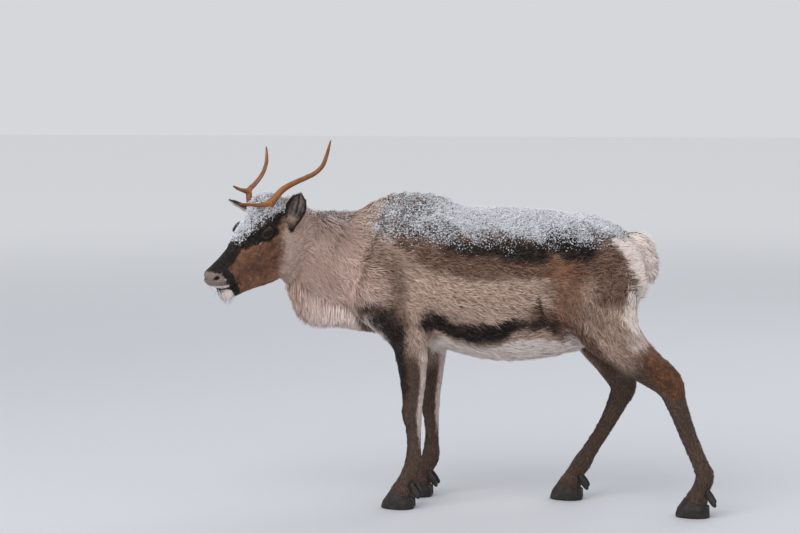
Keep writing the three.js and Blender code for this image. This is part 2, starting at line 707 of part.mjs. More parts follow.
// Rings along a leg, each turned as the leg turns over a stretch to either side of it.
function legRings(stations, from, to, count) {
  const path = new THREE.CatmullRomCurve3(stations.map((s) => vector(s.at)), false, 'catmullrom', 0.5);
  const sizes = new THREE.CatmullRomCurve3(
    stations.map((s) => new THREE.Vector3(s.wide, s.deep, 0)), false, 'catmullrom', 0.5);
  const look = 0.06;
  return Array.from({ length: count + 1 }, (_, i) => {
    const t = mix(from, to, i / count);
    const facing = path.getPoint(Math.min(1, t + look)).sub(path.getPoint(Math.max(0, t - look))).normalize();
    if (t > 0.9) facing.lerp(CORONET_DOWN, (t - 0.9) / 0.1).normalize();
    const size = sizes.getPoint(t);
    return ring(path.getPoint(t), facing, SIDEWAYS, 1.35 * Math.max(size.x, size.y));
  });
}

// Outline of one claw on the ground, from the inner heel round the toe to the outer heel: ahead of the
// middle of the hoof's top, and out from the foot's midline.
const CLAW_OUTLINE = [
  [-36, 9], [-20, 4], [4, 3], [30, 3], [48, 4], [60, 10], [61, 19], [50, 31], [30, 42], [4, 48], [-20, 44], [-37, 32],
  [-43, 19],
];
const CLAW_MIDDLE = [2, 24];
const CLAW_LAYERS = [[0, 0.94, 0], [4, 1, 0], [24, 0.94, -2], [62, 0.66, -10]];

// A claw is drawn over the slanting top of the hoof and cut off there.
function claw(top, side) {
  const points = [];
  for (const [height, size, back] of CLAW_LAYERS)
    for (const [ahead, out] of CLAW_OUTLINE)
      points.push(new THREE.Vector3(
        top.x - (CLAW_MIDDLE[0] + (ahead - CLAW_MIDDLE[0]) * size + back) * GROW,
        top.y + side * Math.max(GAP * 4, (CLAW_MIDDLE[1] + (out - CLAW_MIDDLE[1]) * size)) * GROW,
        height * GROW));
  const middle = (height, back) => new THREE.Vector3(
    top.x - (CLAW_MIDDLE[0] + back) * GROW, top.y + side * CLAW_MIDDLE[1] * GROW, height * GROW);
  const [first, last] = [CLAW_LAYERS[0], CLAW_LAYERS[CLAW_LAYERS.length - 1]];
  const body = solid(closedTube(points, CLAW_LAYERS.length, CLAW_OUTLINE.length,
    middle(first[0], first[2]), middle(last[0], last[2])));
  const offset = CORONET_DOWN.dot(top) + GAP;
  return body.trimByPlane(CORONET_DOWN.toArray(), offset);
}

function dewclaw(top, side) {
  const points = [[34, 22, 84, 5], [40, 25, 68, 9], [48, 28, 54, 10.5], [56, 30, 42, 8.5], [59, 31, 34, 4]];
  const path = points.map(([back, out, height]) =>
    new THREE.Vector3(top.x + back * GROW, top.y + side * out * GROW, height * GROW));
  return tube(path, (t) => inList(points.map((p) => p[3]), t) * GROW, { rings: 4, sides: 6, squash: 0.8, side: TOE });
}

// The pieces
const NODE_GAP = 0.0004; // share of a leg's length that is left open at each of its joints
const torso = [trunkSolid()];
const grownTrunk = trunkSolid(GAP);
for (const [name, leg] of Object.entries(legs)) {
  const form = formOf([...trunkShapes, [new Limb(leg.stations), 45]]);
  const [top, joint, fetlock] = leg.cuts;
  const piece = (from, to, count, level = 0) =>
    solid(wrap(form, legRings(leg.stations, from, to, count), LEG_SEGMENTS, { level }));
  torso.push(piece(0.02, top, 5));
  const names = SEGMENT_NAMES[name.split('_')[0]];
  addNode(`${name}_${names[0]}`, piece(top + NODE_GAP, joint, 8).subtract(grownTrunk), COLOURS.leg);
  addNode(`${name}_${names[1]}`, piece(joint + NODE_GAP, fetlock, 9), COLOURS.leg);
  addNode(`${name}_${names[2]}`, piece(fetlock + NODE_GAP, 1, 6), COLOURS.leg);
  const coronet = vector(leg.stations[leg.stations.length - 1].at);
  const grownFoot = piece(fetlock - 4 * NODE_GAP, 1, 6, GAP);
  for (const [where, side] of Object.entries({ outer: Math.sign(coronet.y), inner: -Math.sign(coronet.y) })) {
    addNode(`${name}_claw_${where}`, claw(coronet, side), COLOURS.hoof, 0.45);
    addNode(`${name}_dewclaw_${where}`, dewclaw(coronet, side).subtract(grownFoot), COLOURS.hoof, 0.5);
  }
}
const trimmed = (body, cut, sign) => body.trimByPlane(
  cut.facing.clone().multiplyScalar(sign).toArray(), sign * cut.facing.dot(cut.at) + GAP / 2);
addNode('torso', trimmed(wasm.Manifold.union(torso), NECK_CUT, -1), COLOURS.flank);
const maned = wasm.Manifold.union([neckSolid(), ...locksAlong(MANE, MANE_LOCKS)]);
addNode('neck', trimmed(trimmed(maned, NECK_CUT, 1), HEAD_CUT, -1), COLOURS.neck);
addNode('head', trimmed(detailedHead(), HEAD_CUT, 1), COLOURS.face);

const grownHead = headSolid(GAP);
for (const name of ['left', 'right']) {
  const { beam, tine } = antler(name);
  addNode(`antler_${name}_beam`, beam.subtract(grownHead), COLOURS.antler, 0.5);
  addNode(`antler_${name}_brow_tine`, tine.subtract(grownHead), COLOURS.antler, 0.5);
  addNode(`ear_${name}`, ear(name).subtract(grownHead), COLOURS.ear);
  addNode(`eye_${name}`, ovalSolid(eyeCentre(EYES[name]), Array(3).fill(EYE_RADIUS / GROW), HEAD_AXES, 14, 9),
    COLOURS.eye, 0.1);
}
const tailRings = legRings(core(TAIL, TAIL_LIFT), 0.02, 0.98, 8);
const tail = wasm.Manifold.union([solid(wrap(tailCore, tailRings, 12)), ...locksAlong(TAIL, TAIL_LOCKS)]);
addNode('tail', tail.subtract(grownTrunk), COLOURS.rump);

// The middle of the footprint comes over the origin.
const box = new THREE.Box3().setFromObject(root);
const middle = box.getCenter(new THREE.Vector3());
for (const mesh of root.children) mesh.geometry.translate(-middle.x, -middle.y, 0);

export default root;
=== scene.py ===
"""A reindeer cow in winter coat: skin, fur, eyes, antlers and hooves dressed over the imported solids.

Lengths are in metres. Tables of sizes are in millimetres in the animal's own frame, the head towards -X, its left
side towards -Y and the hooves on Z = 0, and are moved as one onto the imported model.
"""
from __future__ import annotations

import logging
import math
from dataclasses import dataclass, field
from enum import Enum

import bpy
import numpy as np
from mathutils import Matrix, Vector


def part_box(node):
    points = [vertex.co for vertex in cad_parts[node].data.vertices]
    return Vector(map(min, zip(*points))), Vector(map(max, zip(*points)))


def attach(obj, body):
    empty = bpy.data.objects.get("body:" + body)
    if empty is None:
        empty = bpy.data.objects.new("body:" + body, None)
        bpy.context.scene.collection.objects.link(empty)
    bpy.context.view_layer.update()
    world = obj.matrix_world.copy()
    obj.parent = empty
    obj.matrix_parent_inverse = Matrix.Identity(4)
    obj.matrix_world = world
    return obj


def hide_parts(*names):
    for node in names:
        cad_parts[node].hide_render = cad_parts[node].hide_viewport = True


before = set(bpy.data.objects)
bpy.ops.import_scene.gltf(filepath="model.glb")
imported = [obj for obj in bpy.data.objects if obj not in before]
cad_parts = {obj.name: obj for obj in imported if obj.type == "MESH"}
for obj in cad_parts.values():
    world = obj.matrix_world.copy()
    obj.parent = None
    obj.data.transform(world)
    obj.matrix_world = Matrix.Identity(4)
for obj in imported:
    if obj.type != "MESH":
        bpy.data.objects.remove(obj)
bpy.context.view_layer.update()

Array = np.ndarray
MM = 0.001
LOG = logging.getLogger("reindeer")
SNOW_ON_COAT = 1.0  # how much of the snow that lies on the back and crown is kept, 0 to 1
WALK_STEPS = 28  # steps in which a ray without a guess looks for a surface
HALVINGS = 10  # times that the stretch of a ray with the surface in it is halved
GUESS_REACH = 0.016  # how far to either side of a guess a ray looks, metres
TRIANGLES_A_PIECE = 190000  # most that one piece of the coat has
UNWRAP_EDGE = 0.002  # margin of the unwrap that tufts and grains keep clear of
UNWRAP_SPECK = 0.003  # size of one tuft or grain on the unwrap


# --------------------------------------------------------------------------------------------- small mathematics
def unit(v: Array) -> Array:
    """Vectors over their own lengths."""
    return v / np.maximum(np.linalg.norm(v, axis=-1, keepdims=True), 1e-12)


def smooth(low: float, high: float, x: Array) -> Array:
    """Smooth step: 0 below low, 1 above high, and 3t^2 - 2t^3 between, t the share of the way."""
    t = np.clip((x - low) / (high - low), 0.0, 1.0)
    return t * t * (3.0 - 2.0 * t)


def bell(*offs: Array) -> Array:
    """A bell of distances from a middle, each over its width: e to the power of minus the sum of their squares."""
    return np.exp(-sum(off**2 for off in offs))


def ripple(p: Array, scale: float, seed: int) -> Array:
    """Soft noise between about -1 and 1.

    The sum of seven sine waves in seeded directions, each scale metres long give or take a third.

    Args:
        p: points, n by 3.
        scale: the mean wave length.
        seed: which set of waves.
    Returns:
        One value a point.
    """
    draw = np.random.default_rng(seed)
    ways = unit(draw.normal(size=(7, 3)))
    waves = 2 * math.pi / (scale * draw.uniform(0.66, 1.4, 7))
    phases = draw.uniform(0, 2 * math.pi, 7)
    return np.sin(p @ (ways * waves[:, None]).T + phases).sum(1) / 3.2


def along_curve(keys: Array, t: Array) -> Array:
    """A smooth uniform curve through key rows.

    Between two keys it is the cubic whose slopes at them are half the difference of their neighbours, and the
    neighbours of the ends are mirrored.

    Args:
        keys: n rows of any width.
        t: shares of the whole curve, 0 to 1.
    Returns:
        One row for each share.
    """
    full = np.vstack([2 * keys[0] - keys[1], keys, 2 * keys[-1] - keys[-2]])
    x = np.clip(t, 0, 1) * (len(keys) - 1)
    k = np.minimum(x.astype(int), len(keys) - 2)
    f = (x - k)[:, None]
    a, b, c, d = (full[k + i] for i in range(4))
    m0, m1 = (c - a) / 2, (d - b) / 2
    return (2 * f**3 - 3 * f**2 + 1) * b + (f**3 - 2 * f**2 + f) * m0 + (3 * f**2 - 2 * f**3) * c + (f**3 - f**2) * m1


def round_at(angle: Array, side: Array, up: Array) -> Array:
    """Rings of side cos(angle) + up sin(angle), n by angles by 3."""
    return side[:, None] * np.cos(angle)[None, :, None] + up[:, None] * np.sin(angle)[None, :, None]


def oval_distance(q: Array, radii: Array) -> Array:
    """Distance to an oval, near enough: k (k - 1) / s, k the length of q over the radii, s that over them again."""
    near = np.linalg.norm(q / radii, axis=-1)
    slope = np.linalg.norm(q / radii**2, axis=-1)
    return near * (near - 1) / np.maximum(slope, 1e-9)


# --------------------------------------------------------------------------------------------- forms of the body
@dataclass
class Limb:
    """A limb of oval section on a smooth curve through stations (x, y, z, half width, half depth) in mm."""

    stations: Array
    side: tuple[float, float, float] = (0.0, 1.0, 0.0)
    cap: float | None = None

    def __post_init__(self) -> None:
        """Cuts the curve into four short straight ovals a stretch."""
        self.stations = np.asarray(self.stations, float) * MM
        count = (len(self.stations) - 1) * 4
        rows = along_curve(self.stations, np.linspace(0, 1, count + 1))
        self.start, end = rows[:-1, :3], rows[1:, :3]
        self.length = np.linalg.norm(end - self.start, axis=1)
        self.along = unit(end - self.start)
        self.deep = unit(np.cross(self.along, self.side))
        self.wide = unit(np.cross(self.deep, self.along))
        self.sizes = np.stack([rows[:-1, 3:5], rows[1:, 3:5]])
        self.ends = np.full(count, self.cap * MM) if self.cap else self.sizes.min(axis=(0, 2))
        middle = (self.stations[:, :3].min(0) + self.stations[:, :3].max(0)) / 2
        self.ball = middle, float(
            np.linalg.norm(self.stations[:, :3] - middle, axis=1).max() + self.stations[:, 3:5].max())

    def distance(self, p: Array) -> Array:
        """Least of the distances to the short ovals, each with its radii blended along it."""
        least = np.full(len(p), np.inf)
        for i in range(len(self.start)):
            d = p - self.start[i]
            reach = d @ self.along[i]
            t = np.clip(reach / self.length[i], 0, 1)
            size = self.sizes[0, i] + (self.sizes[1, i] - self.sizes[0, i]) * t[:, None]
            q = np.stack([d @ self.wide[i], d @ self.deep[i], reach - t * self.length[i]], 1)
            radii = np.column_stack([size, np.full(len(p), self.ends[i])])
            least = np.minimum(least, oval_distance(q, radii))
        return least


@dataclass
class Oval:
    """A single oval: centre, radii in metres and its three axes as rows."""

    at: Array
    radii: Array
    axes: Array

    def __post_init__(self) -> None:
        """Keeps the ball that holds it."""
        self.ball = self.at, float(np.max(self.radii))

    def distance(self, p: Array) -> Array:
        """Distance in the oval's own axes."""
        return oval_distance((p - self.at) @ self.axes.T, self.radii)


@dataclass
class Form:
    """Shapes that melt into those before them, each over its own length in mm."""

    shapes: list[tuple[Limb | Oval, float]]

    def __call__(self, p: Array) -> Array:
        """Smooth least distance.

        For each shape the lesser of the two distances, less h^2 m / 4, h the share of the melt m by which they
        agree. A shape whose ball is further off than what is there already is skipped.
        """
        d = np.full(len(p), 1e3)
        for shape, melt in self.shapes:
            m = melt * MM
            near = np.linalg.norm(p - shape.ball[0], axis=1) - shape.ball[1] <= np.maximum(d, 0) + m
            if not near.any():
                continue
            e = shape.distance(p[near])
            h = np.maximum(0, m - np.abs(d[near] - e)) / m
            d[near] = np.minimum(d[near], e) - h * h * m / 4
        return d

    def crossing(self, start: Array, way: Array, reach: Array, level: Array, guess: Array | None = None) -> Array:
        """Distance along rays at which the form first passes a level, or the whole reach.

        Args:
            start, way: the rays, n by 3.
            reach: how far each ray looks.
            level: the wanted value, negative inside.
            guess: a first guess of the distance, else the ray is walked from its start.
        Returns:
            The distance, halved down to well under 0.1 mm.
        """
        count = len(start)
        low, high = np.zeros(count), np.array(reach, float)
        found = np.zeros(count, bool)
        if guess is not None:
            lower, upper = np.maximum(guess - GUESS_REACH, 0), np.minimum(guess + GUESS_REACH, reach)
            inside = self(start + way * lower[:, None]) <= level
            outside = self(start + way * upper[:, None]) > level
            found = inside & outside
            low[found], high[found] = lower[found], upper[found]
        open_rays = np.flatnonzero(~found)
        for i in range(1, WALK_STEPS + 1):
            if not len(open_rays):
                break
            r = reach[open_rays] * i / WALK_STEPS
            past = self(start[open_rays] + way[open_rays] * r[:, None]) > level[open_rays]
            hit = open_rays[past]
            low[hit], high[hit], found[hit] = reach[hit] * (i - 1) / WALK_STEPS, r[past], True
            open_rays = open_rays[~past]
        some = np.flatnonzero(found)
        for _ in range(HALVINGS):
            middle = (low[some] + high[some]) / 2
            past = self(start[some] + way[some] * middle[:, None]) > level[some]
            high[some[past]], low[some[~past]] = middle[past], middle[~past]
        return np.where(found, (low + high) / 2, reach)


# --------------------------------------------------------------------------------------------- the animal's tables
@dataclass(frozen=True)
class Head:
    """The head's own frame and its tables, in mm forward from the poll, to the animal's left and up."""

    poll: tuple[float, float, float] = (-437, -100, 884)
    turn: float = 50.0
    pitch: float = 24.0
    eye: tuple[float, float, float] = (126, 62, 41)
    eye_radius: float = 17.5

    @property
    def axes(self) -> Array:
        """Forward, left and up as rows."""
        a, e = math.radians(self.turn), math.radians(self.pitch)
        forward = np.array([-math.cos(a) * math.cos(e), -math.sin(a) * math.cos(e), -math.sin(e)])
        left = unit(np.cross([0, 0, 1], forward))
        return np.array([forward, left, np.cross(forward, left)])

    def point(self, rows: Array) -> Array:
        """Metres from rows of (forward, left, up)."""
        return np.asarray(self.poll) * MM + np.asarray(rows, float) @ self.axes * MM

    def local(self, p: Array) -> Array:
        """Millimetres (forward, left, up) of points in metres."""
        return (p - np.asarray(self.poll) * MM) @ self.axes.T / MM

    def limb(self, rows: list[tuple[float, float, float, float]], cap: float | None = None) -> Limb:
        """A limb along the head from rows of (forward, up, half width, half depth)."""
        r = np.array(rows, float)
        at = self.point(np.column_stack([r[:, 0], np.zeros(len(r)), r[:, 1]])) / MM
        return Limb(np.column_stack([at, r[:, 2:]]), tuple(self.axes[1]), cap)

    def oval(self, at: tuple[float, float, float], radii: tuple[float, float, float],
             axes: Array | None = None) -> Oval:
        """An oval of the head, in the head's axes unless others are given."""
        return Oval(self.point(at), np.array(radii) * MM, self.axes if axes is None else axes)


class Side(Enum):
    """A side of the animal, with its sign along the head's own left."""

    LEFT = 1
    RIGHT = -1

    @property
    def word(self) -> str:
        """What the names of pieces call it."""
        return self.name.lower()

    @property
    def y(self) -> int:
        """Its sign along Y, on which the left is negative."""
        return -self.value

    def mirror(self, rows: Array) -> Array:
        """Rows of (forward, left, up) from rows of (forward, outwards, up)."""
        return np.asarray(rows, float) * [1, self.value, 1]


HEAD = Head()
BARREL = [(-215, 0, 700, 70, 95), (-135, 0, 728, 112, 205), (-50, 0, 738, 136, 247), (70, 0, 716, 158, 232),
          (230, 0, 697, 176, 245), (400, 0, 706, 160, 230), (530, 0, 738, 136, 186), (618, 0, 752, 98, 118)]
NECK = [(-120, 0, 752, 110, 195), (-200, -8, 750, 100, 182), (-300, -38, 774, 84, 156), (-385, -76, 808, 74, 131),
        (-440, -102, 842, 68, 92)]
MANE = [(-420, -92, 730, 36, 36), (-396, -80, 668, 42, 36), (-358, -62, 622, 46, 54), (-290, -34, 612, 52, 50),
        (-220, -12, 606, 60, 54), (-150, 0, 598, 62, 50)]
SHOULDER = [(-70, 72, 860, 48, 80), (-130, 92, 760, 56, 86), (-165, 100, 668, 56, 78), (-95, 108, 590, 52, 70)]
HAUNCH = [(455, 72, 830, 62, 80), (520, 96, 760, 74, 118), (545, 108, 690, 72, 132)]
FORELEG = [(-118, 96, 640, 38, 56), (-68, 107, 568, 46, 65), (-45, 111, 500, 42, 59), (-39, 108, 400, 33, 44),
           (-40, 106, 335, 30, 35), (-42, 105, 298, 31, 35), (-38, 105, 255, 25, 28), (-36, 105, 195, 23, 25),
           (-40, 105, 128, 28, 31), (-62, 105, 82, 27, 28), (-76, 105, 44, 36, 38)]
HIND_BACK = [(520, 74, 770, 48, 92), (542, 100, 688, 56, 112), (556, 124, 602, 62, 108), (602, 128, 532, 54, 80),
             (675, 124, 468, 41, 60), (748, 120, 412, 33, 50), (775, 119, 350, 27, 36), (808, 118, 262, 24, 30),
             (846, 118, 172, 24, 28), (864, 118, 126, 28, 32), (852, 118, 82, 27, 29), (838, 118, 44, 36, 38)]
HIND_FORWARD = [(515, 74, 770, 48, 92), (505, 100, 690, 56, 112), (496, 124, 602, 60, 104), (520, 128, 520, 52, 76),
                (566, 124, 440, 39, 55), (604, 121, 372, 32, 47), (585, 120, 310, 26, 35), (545, 119, 230, 23, 28),
                (502, 118, 160, 24, 28), (478, 118, 120, 28, 32), (452, 118, 80, 27, 29), (436, 118, 44, 36, 38)]
TAIL = [(622, 0, 852, 38, 30), (662, 0, 818, 33, 25), (684, 0, 762, 30, 22), (687, 0, 696, 22, 16)]
CRANIUM = [(0, 0, 68, 90), (60, 0, 72, 96), (115, 2, 68, 88), (165, -6, 56, 72)]
FACE = [(140, 6, 55, 60), (205, -8, 44, 54), (262, -19, 38, 47), (300, -24, 37, 43), (316, -29, 35, 38)]
JAW = [(55, -88, 48, 44), (120, -98, 42, 39), (195, -92, 34, 30), (250, -87, 30, 25), (308, -84, 29, 23)]


def sided(rows: list[tuple[float, ...]], side: float, reach: float = 0.0) -> list[tuple[float, ...]]:
    """A table set on one side of the animal, its lower rows moved by a reach."""
    return [(x + (reach if i > 1 else 0), y * side, *rest) for i, (x, y, *rest) in enumerate(rows)]


LEGS = {"foreleg_left": sided(FORELEG, Side.LEFT.y), "foreleg_right": sided(FORELEG, Side.RIGHT.y, 30),
        "hindleg_left": sided(HIND_BACK, Side.LEFT.y), "hindleg_right": sided(HIND_FORWARD, Side.RIGHT.y)}


def core(rows: list[tuple[float, ...]], lift: tuple[float, float, float]) -> list[tuple[float, ...]]:
    """The core of a table of long hair: lifted, 0.72 as wide and 0.45 as deep."""
    return [(x + lift[0], y + lift[1], z + lift[2], w * 0.72, d * 0.45) for x, y, z, w, d in rows]


def eye_axes(side: Side) -> Array:
    """Along the slit, outwards and up of the eye on one side."""
    forward, left, up = HEAD.axes
    out = unit(left * side.value + 0.28 * forward)
    slit = unit(unit(np.cross(up, out)) + 0.16 * side.value * up)
    return np.array([slit, out, unit(np.cross(slit, out))])


def head_shapes() -> list[tuple[Limb | Oval, float]]:
    """Skull, face, jaw, cheeks, brows and nostril wings."""
    shapes = [(HEAD.limb(CRANIUM), 50), (HEAD.oval((52, 0, 80), (56, 46, 48)), 24), (HEAD.limb(FACE, 24), 24),
              (HEAD.limb(JAW, 18), 22)]
    for side in Side:
        shapes += [(HEAD.oval(side.mirror(at), radii), melt) for at, radii, melt in (
            ((78, 36, -48), (60, 30, 58), 26), ((126, 56, 46), (36, 20, 24), 16), ((314, 21, -22), (29, 22, 26), 14))]
    return shapes


def trunk_shapes() -> list[tuple[Limb | Oval, float]]:
    """Barrel, neck, shoulders and haunches."""
    shapes: list[tuple[Limb | Oval, float]] = [(Limb(BARREL, cap=66), 30), (Limb(NECK), 70)]
    for side in Side:
        shapes += [(Limb(sided(SHOULDER, side.y)), 50), (Limb(sided(HAUNCH, side.y)), 60)]
    return shapes


TRUNK_FORM = Form(trunk_shapes())
BODY_FORM = Form(trunk_shapes() + head_shapes() + [(Limb(core(MANE, (0, 0, 26))), 30)])
COAT_FORM = Form(trunk_shapes() + head_shapes() + [(Limb(MANE), 40)])


# --------------------------------------------------------------------------------------------- markings
@dataclass(frozen=True)
class Stroke:
    """A soft patch along a broken line in a picture plane: points in mm, half width and soft edge in mm, share."""

    points: tuple[tuple[float, float], ...]
    wide: float
    soft: float
    share: float = 1.0

    def __call__(self, q: Array) -> Array:
        """1 within the half width of the line and falling smoothly to 0 over the soft edge."""
        least = np.full(len(q), np.inf)
        for a, b in zip(self.points[:-1], self.points[1:]):
            a, b = np.array(a, float), np.array(b, float)
            way = b - a
            t = np.clip((q - a) @ way / max(way @ way, 1e-9), 0, 1)
            least = np.minimum(least, np.linalg.norm(q - a - t[:, None] * way, axis=1))
        return self.share * (1 - smooth(self.wide, self.wide + self.soft, least))


@dataclass(frozen=True)
class Markings:
    """Where the coat is dark, pale, rusty, grey and snowed on, the same on both sides; some of the dark is painted
    shade in creases and hollows.

    Strokes of the trunk lie in the plane of length and height, those of the head in forward and up.
    """

    dark_trunk: tuple[Stroke, ...] = (
        Stroke(((60, 826), (130, 812), (220, 804), (330, 814)), 4, 54, 0.85),
        Stroke(((375, 850), (430, 828), (480, 818)), 12, 50),
        Stroke(((10, 596), (70, 576), (150, 560), (215, 566), (262, 584)), 12, 40),
        Stroke(((262, 584), (330, 590), (380, 580)), 4, 34, 0.7),
        # painted shade: a thin dark line along the flank's fold
        Stroke(((334, 680), (340, 640), (343, 590)), 2.5, 13),
        Stroke(((-185, 640), (-120, 622), (-90, 590)), 2, 54, 0.7),
        Stroke(((-150, 610), (-105, 560)), 6, 50, 0.9),
        Stroke(((-100, 560), (-92, 470), (-88, 380)), 20, 44, 0.8),
    )
    brown_trunk: tuple[Stroke, ...] = (
        Stroke(((10, 800), (200, 786), (340, 776)), 20, 60),
        Stroke(((-150, 790), (-60, 780)), 16, 60, 0.45),
        Stroke(((460, 780), (550, 780), (580, 720)), 28, 74, 0.9),
        Stroke(((400, 720), (450, 660), (540, 620)), 24, 70, 0.5),
        Stroke(((-60, 880), (150, 880), (350, 880), (540, 850)), 40, 60),
        Stroke(((-125, 760), (-105, 690), (-85, 600)), 16, 52, 0.6),
        Stroke(((330, 620), (420, 590), (500, 520), (560, 450)), 16, 50),
        Stroke(((570, 620), (640, 500)), 10, 60, 0.4),
    )
    pale_trunk: tuple[Stroke, ...] = (
        Stroke(((-200, 600), (-160, 566), (-138, 530)), 11, 14),
        Stroke(((30, 498), (105, 470), (200, 478), (265, 500), (315, 506), (430, 494)), 24, 24),
        Stroke(((590, 848), (632, 800), (650, 740), (652, 670), (646, 600)), 23, 16),
        Stroke(((640, 600), (650, 540)), 8, 46, 0.55),
    )
    rust_trunk: tuple[Stroke, ...] = (
        Stroke(((395, 765), (435, 700), (430, 650)), 10, 92, 0.8),
        Stroke(((650, 540), (710, 480), (770, 400)), 10, 56, 0.85),
        Stroke(((-165, 880), (-205, 800), (-240, 700), (-238, 650)), 3, 16, 0.6),
    )
    dark_head: tuple[Stroke, ...] = (
        Stroke(((190, 52), (229, 34), (258, 18), (290, 5), (314, 8)), 9, 14),
        Stroke(((80, 52), (105, 50), (150, 58), (185, 48)), 11, 12, 0.86),
        Stroke(((103, 30), (132, 30), (168, 38), (205, 36)), 12, 13),
        Stroke(((306, 6), (300, -8), (296, -26), (288, -44)), 11, 11),
        Stroke(((284, -40), (280, -60), (283, -88)), 8, 9),
        Stroke(((46, 16), (50, 2)), 5, 8),
        Stroke(((70, 66), (54, 40), (46, 16)), 8, 14, 0.45),
        # a thin dark line along the mouth's crease, painted shade between the lips
        Stroke(((345, -50), (331, -56), (304, -67), (258, -71)), 1.6, 2.6),
        Stroke(((40, 60), (70, 66)), 8, 12),
    )
    pale_head: tuple[Stroke, ...] = (
        Stroke(((342, -44), (322, -52), (302, -60), (286, -66)), 3, 4),
        Stroke(((338, -64), (316, -78), (298, -96)), 13, 8),
        Stroke(((174, 30), (167, 21)), 2.5, 5, 0.7),
        Stroke(((309, 4), (298, -4), (291, -14)), 1.2, 2.6),
        Stroke(((318, 2), (311, -12), (314, -30)), 1.2, 3.0),
    )

    def masks(self, p: Array, normal: Array) -> dict[str, Array]:
        """Shares of each marking at points of the skin.

        Args:
            p: points in the animal's frame, metres.
            normal: the skin's own way out there.
        Returns:
            dark, brown, pale, rust, grey, neck, streak, leg, face and snow, each 0 to 1; dark also holds painted shade
            in the flank's fold, the mouth's crease, the nostrils, the cleft between the seats and along the tail's
            edges.
        """
        q = p / MM
        wave = np.column_stack([ripple(p, 0.12, 3), ripple(p, 0.12, 4)]) * 11 + \
            np.column_stack([ripple(p, 0.035, 5), ripple(p, 0.035, 6)]) * 5
        side = q[:, [0, 2]] + wave
        head = HEAD.local(p)
        f, l, u = head.T
        near = head[:, [0, 2]] + wave[:, :1] * [0.2, 0.2]
        fray = np.column_stack([ripple(p, 0.009, 16), ripple(p, 0.009, 17)])
        on_head = smooth(-34, 6, f - 0.3 * u) * smooth(560, 620, q[:, 2]) * (q[:, 0] < -250)
        trunk = 1 - on_head
        neck = (1 - smooth(-215, -165, q[:, 0] + 0.35 * (q[:, 2] - 760))) * trunk
        body = trunk * (1 - neck)
        hind = smooth(380, 480, q[:, 0])
        low = 1 - smooth(430 - 110 * hind + 110 * smooth(590, 690, q[:, 0]), 590 - 20 * hind, side[:, 1])
        stripe = smooth(0.15, 0.6, normal[:, 0] - 0.2 * np.abs(normal[:, 1]) + 0.25 * smooth(400, 520, q[:, 2])) * \
            (1 - hind) * low * smooth(150, 300, q[:, 2])
        inner = smooth(0.2, 0.8, -normal[:, 1] * np.sign(q[:, 1])) * smooth(380, 460, q[:, 2]) * low
        leg = low * (1 - np.maximum(stripe, 0.6 * inner))
        front = smooth(0.3, 0.9, -normal[:, 0]) * low * smooth(60, 200, q[:, 2])
        dark = np.maximum(self.most(self.dark_trunk, side) * trunk, 0.6 * front)
        brown = self.most(self.brown_trunk, side) * trunk
        belly = smooth(0.5, 0.85, -normal[:, 2]) * smooth(-80, 20, q[:, 0]) * (1 - smooth(430, 560, q[:, 0])) * \
            smooth(400, 450, q[:, 2])
        seat = smooth(0.62, 0.9, normal[:, 0]) * smooth(560, 620, q[:, 0]) * smooth(560, 640, q[:, 2])
        throat = smooth(0.35, 0.85, -normal[:, 2]) * neck
        pale = np.maximum.reduce([self.most(self.pale_trunk, side) * trunk, belly, seat, 0.8 * throat, 0.6 * stripe])
        rust = 0.8 * self.most(self.rust_trunk, side) * trunk
        cheek_edge = np.interp(u, [-110, -33, 10, 30, 60, 90], [132, 108, 92, 70, 56, 30])
        rear = 1 - smooth(-46, 24, f - cheek_edge + wave[:, 0] * 0.5 + 7 * ripple(p, 0.012, 15))
        rust = np.maximum(rust, on_head * (1 - rear))
        under_eye = 0.42 * bell((f - 140) / 34, (u + 10) / 20)
        dark = np.maximum(dark, np.maximum(self.most(self.dark_head, near + 2.0 * fray), under_eye) * on_head)
        # painted shade in the hollow of each nostril
        nostril_shade = bell(((f - 328) / 13) ** 2 + ((np.abs(l) - 27) / 9) ** 2 + ((u + 15) / 8) ** 2)
        dark = np.maximum(dark, nostril_shade * on_head)
        pale = np.maximum(pale, self.most(self.pale_head, near) * on_head)
        grey = smooth(314, 324, f + wave[:, 1] * 0.3) * (1 - smooth(0, 10, u))
        streak = neck * smooth(790, 900, q[:, 2] + 22 * ripple(p, 0.09, 14))
        drift = ripple(p, 0.06, 8)
        back = smooth(800, 905, q[:, 2] + 16 * drift) * smooth(-225, -150, q[:, 0] - 0.4 * (q[:, 2] - 860)) * \
            (1 - smooth(560, 640, q[:, 0])) * body
        # painted shade in the cleft between the seats, below the tail
        cleft_shade = smooth(620, 650, q[:, 0]) * bell(q[:, 1] / 15) * smooth(540, 590, q[:, 2])
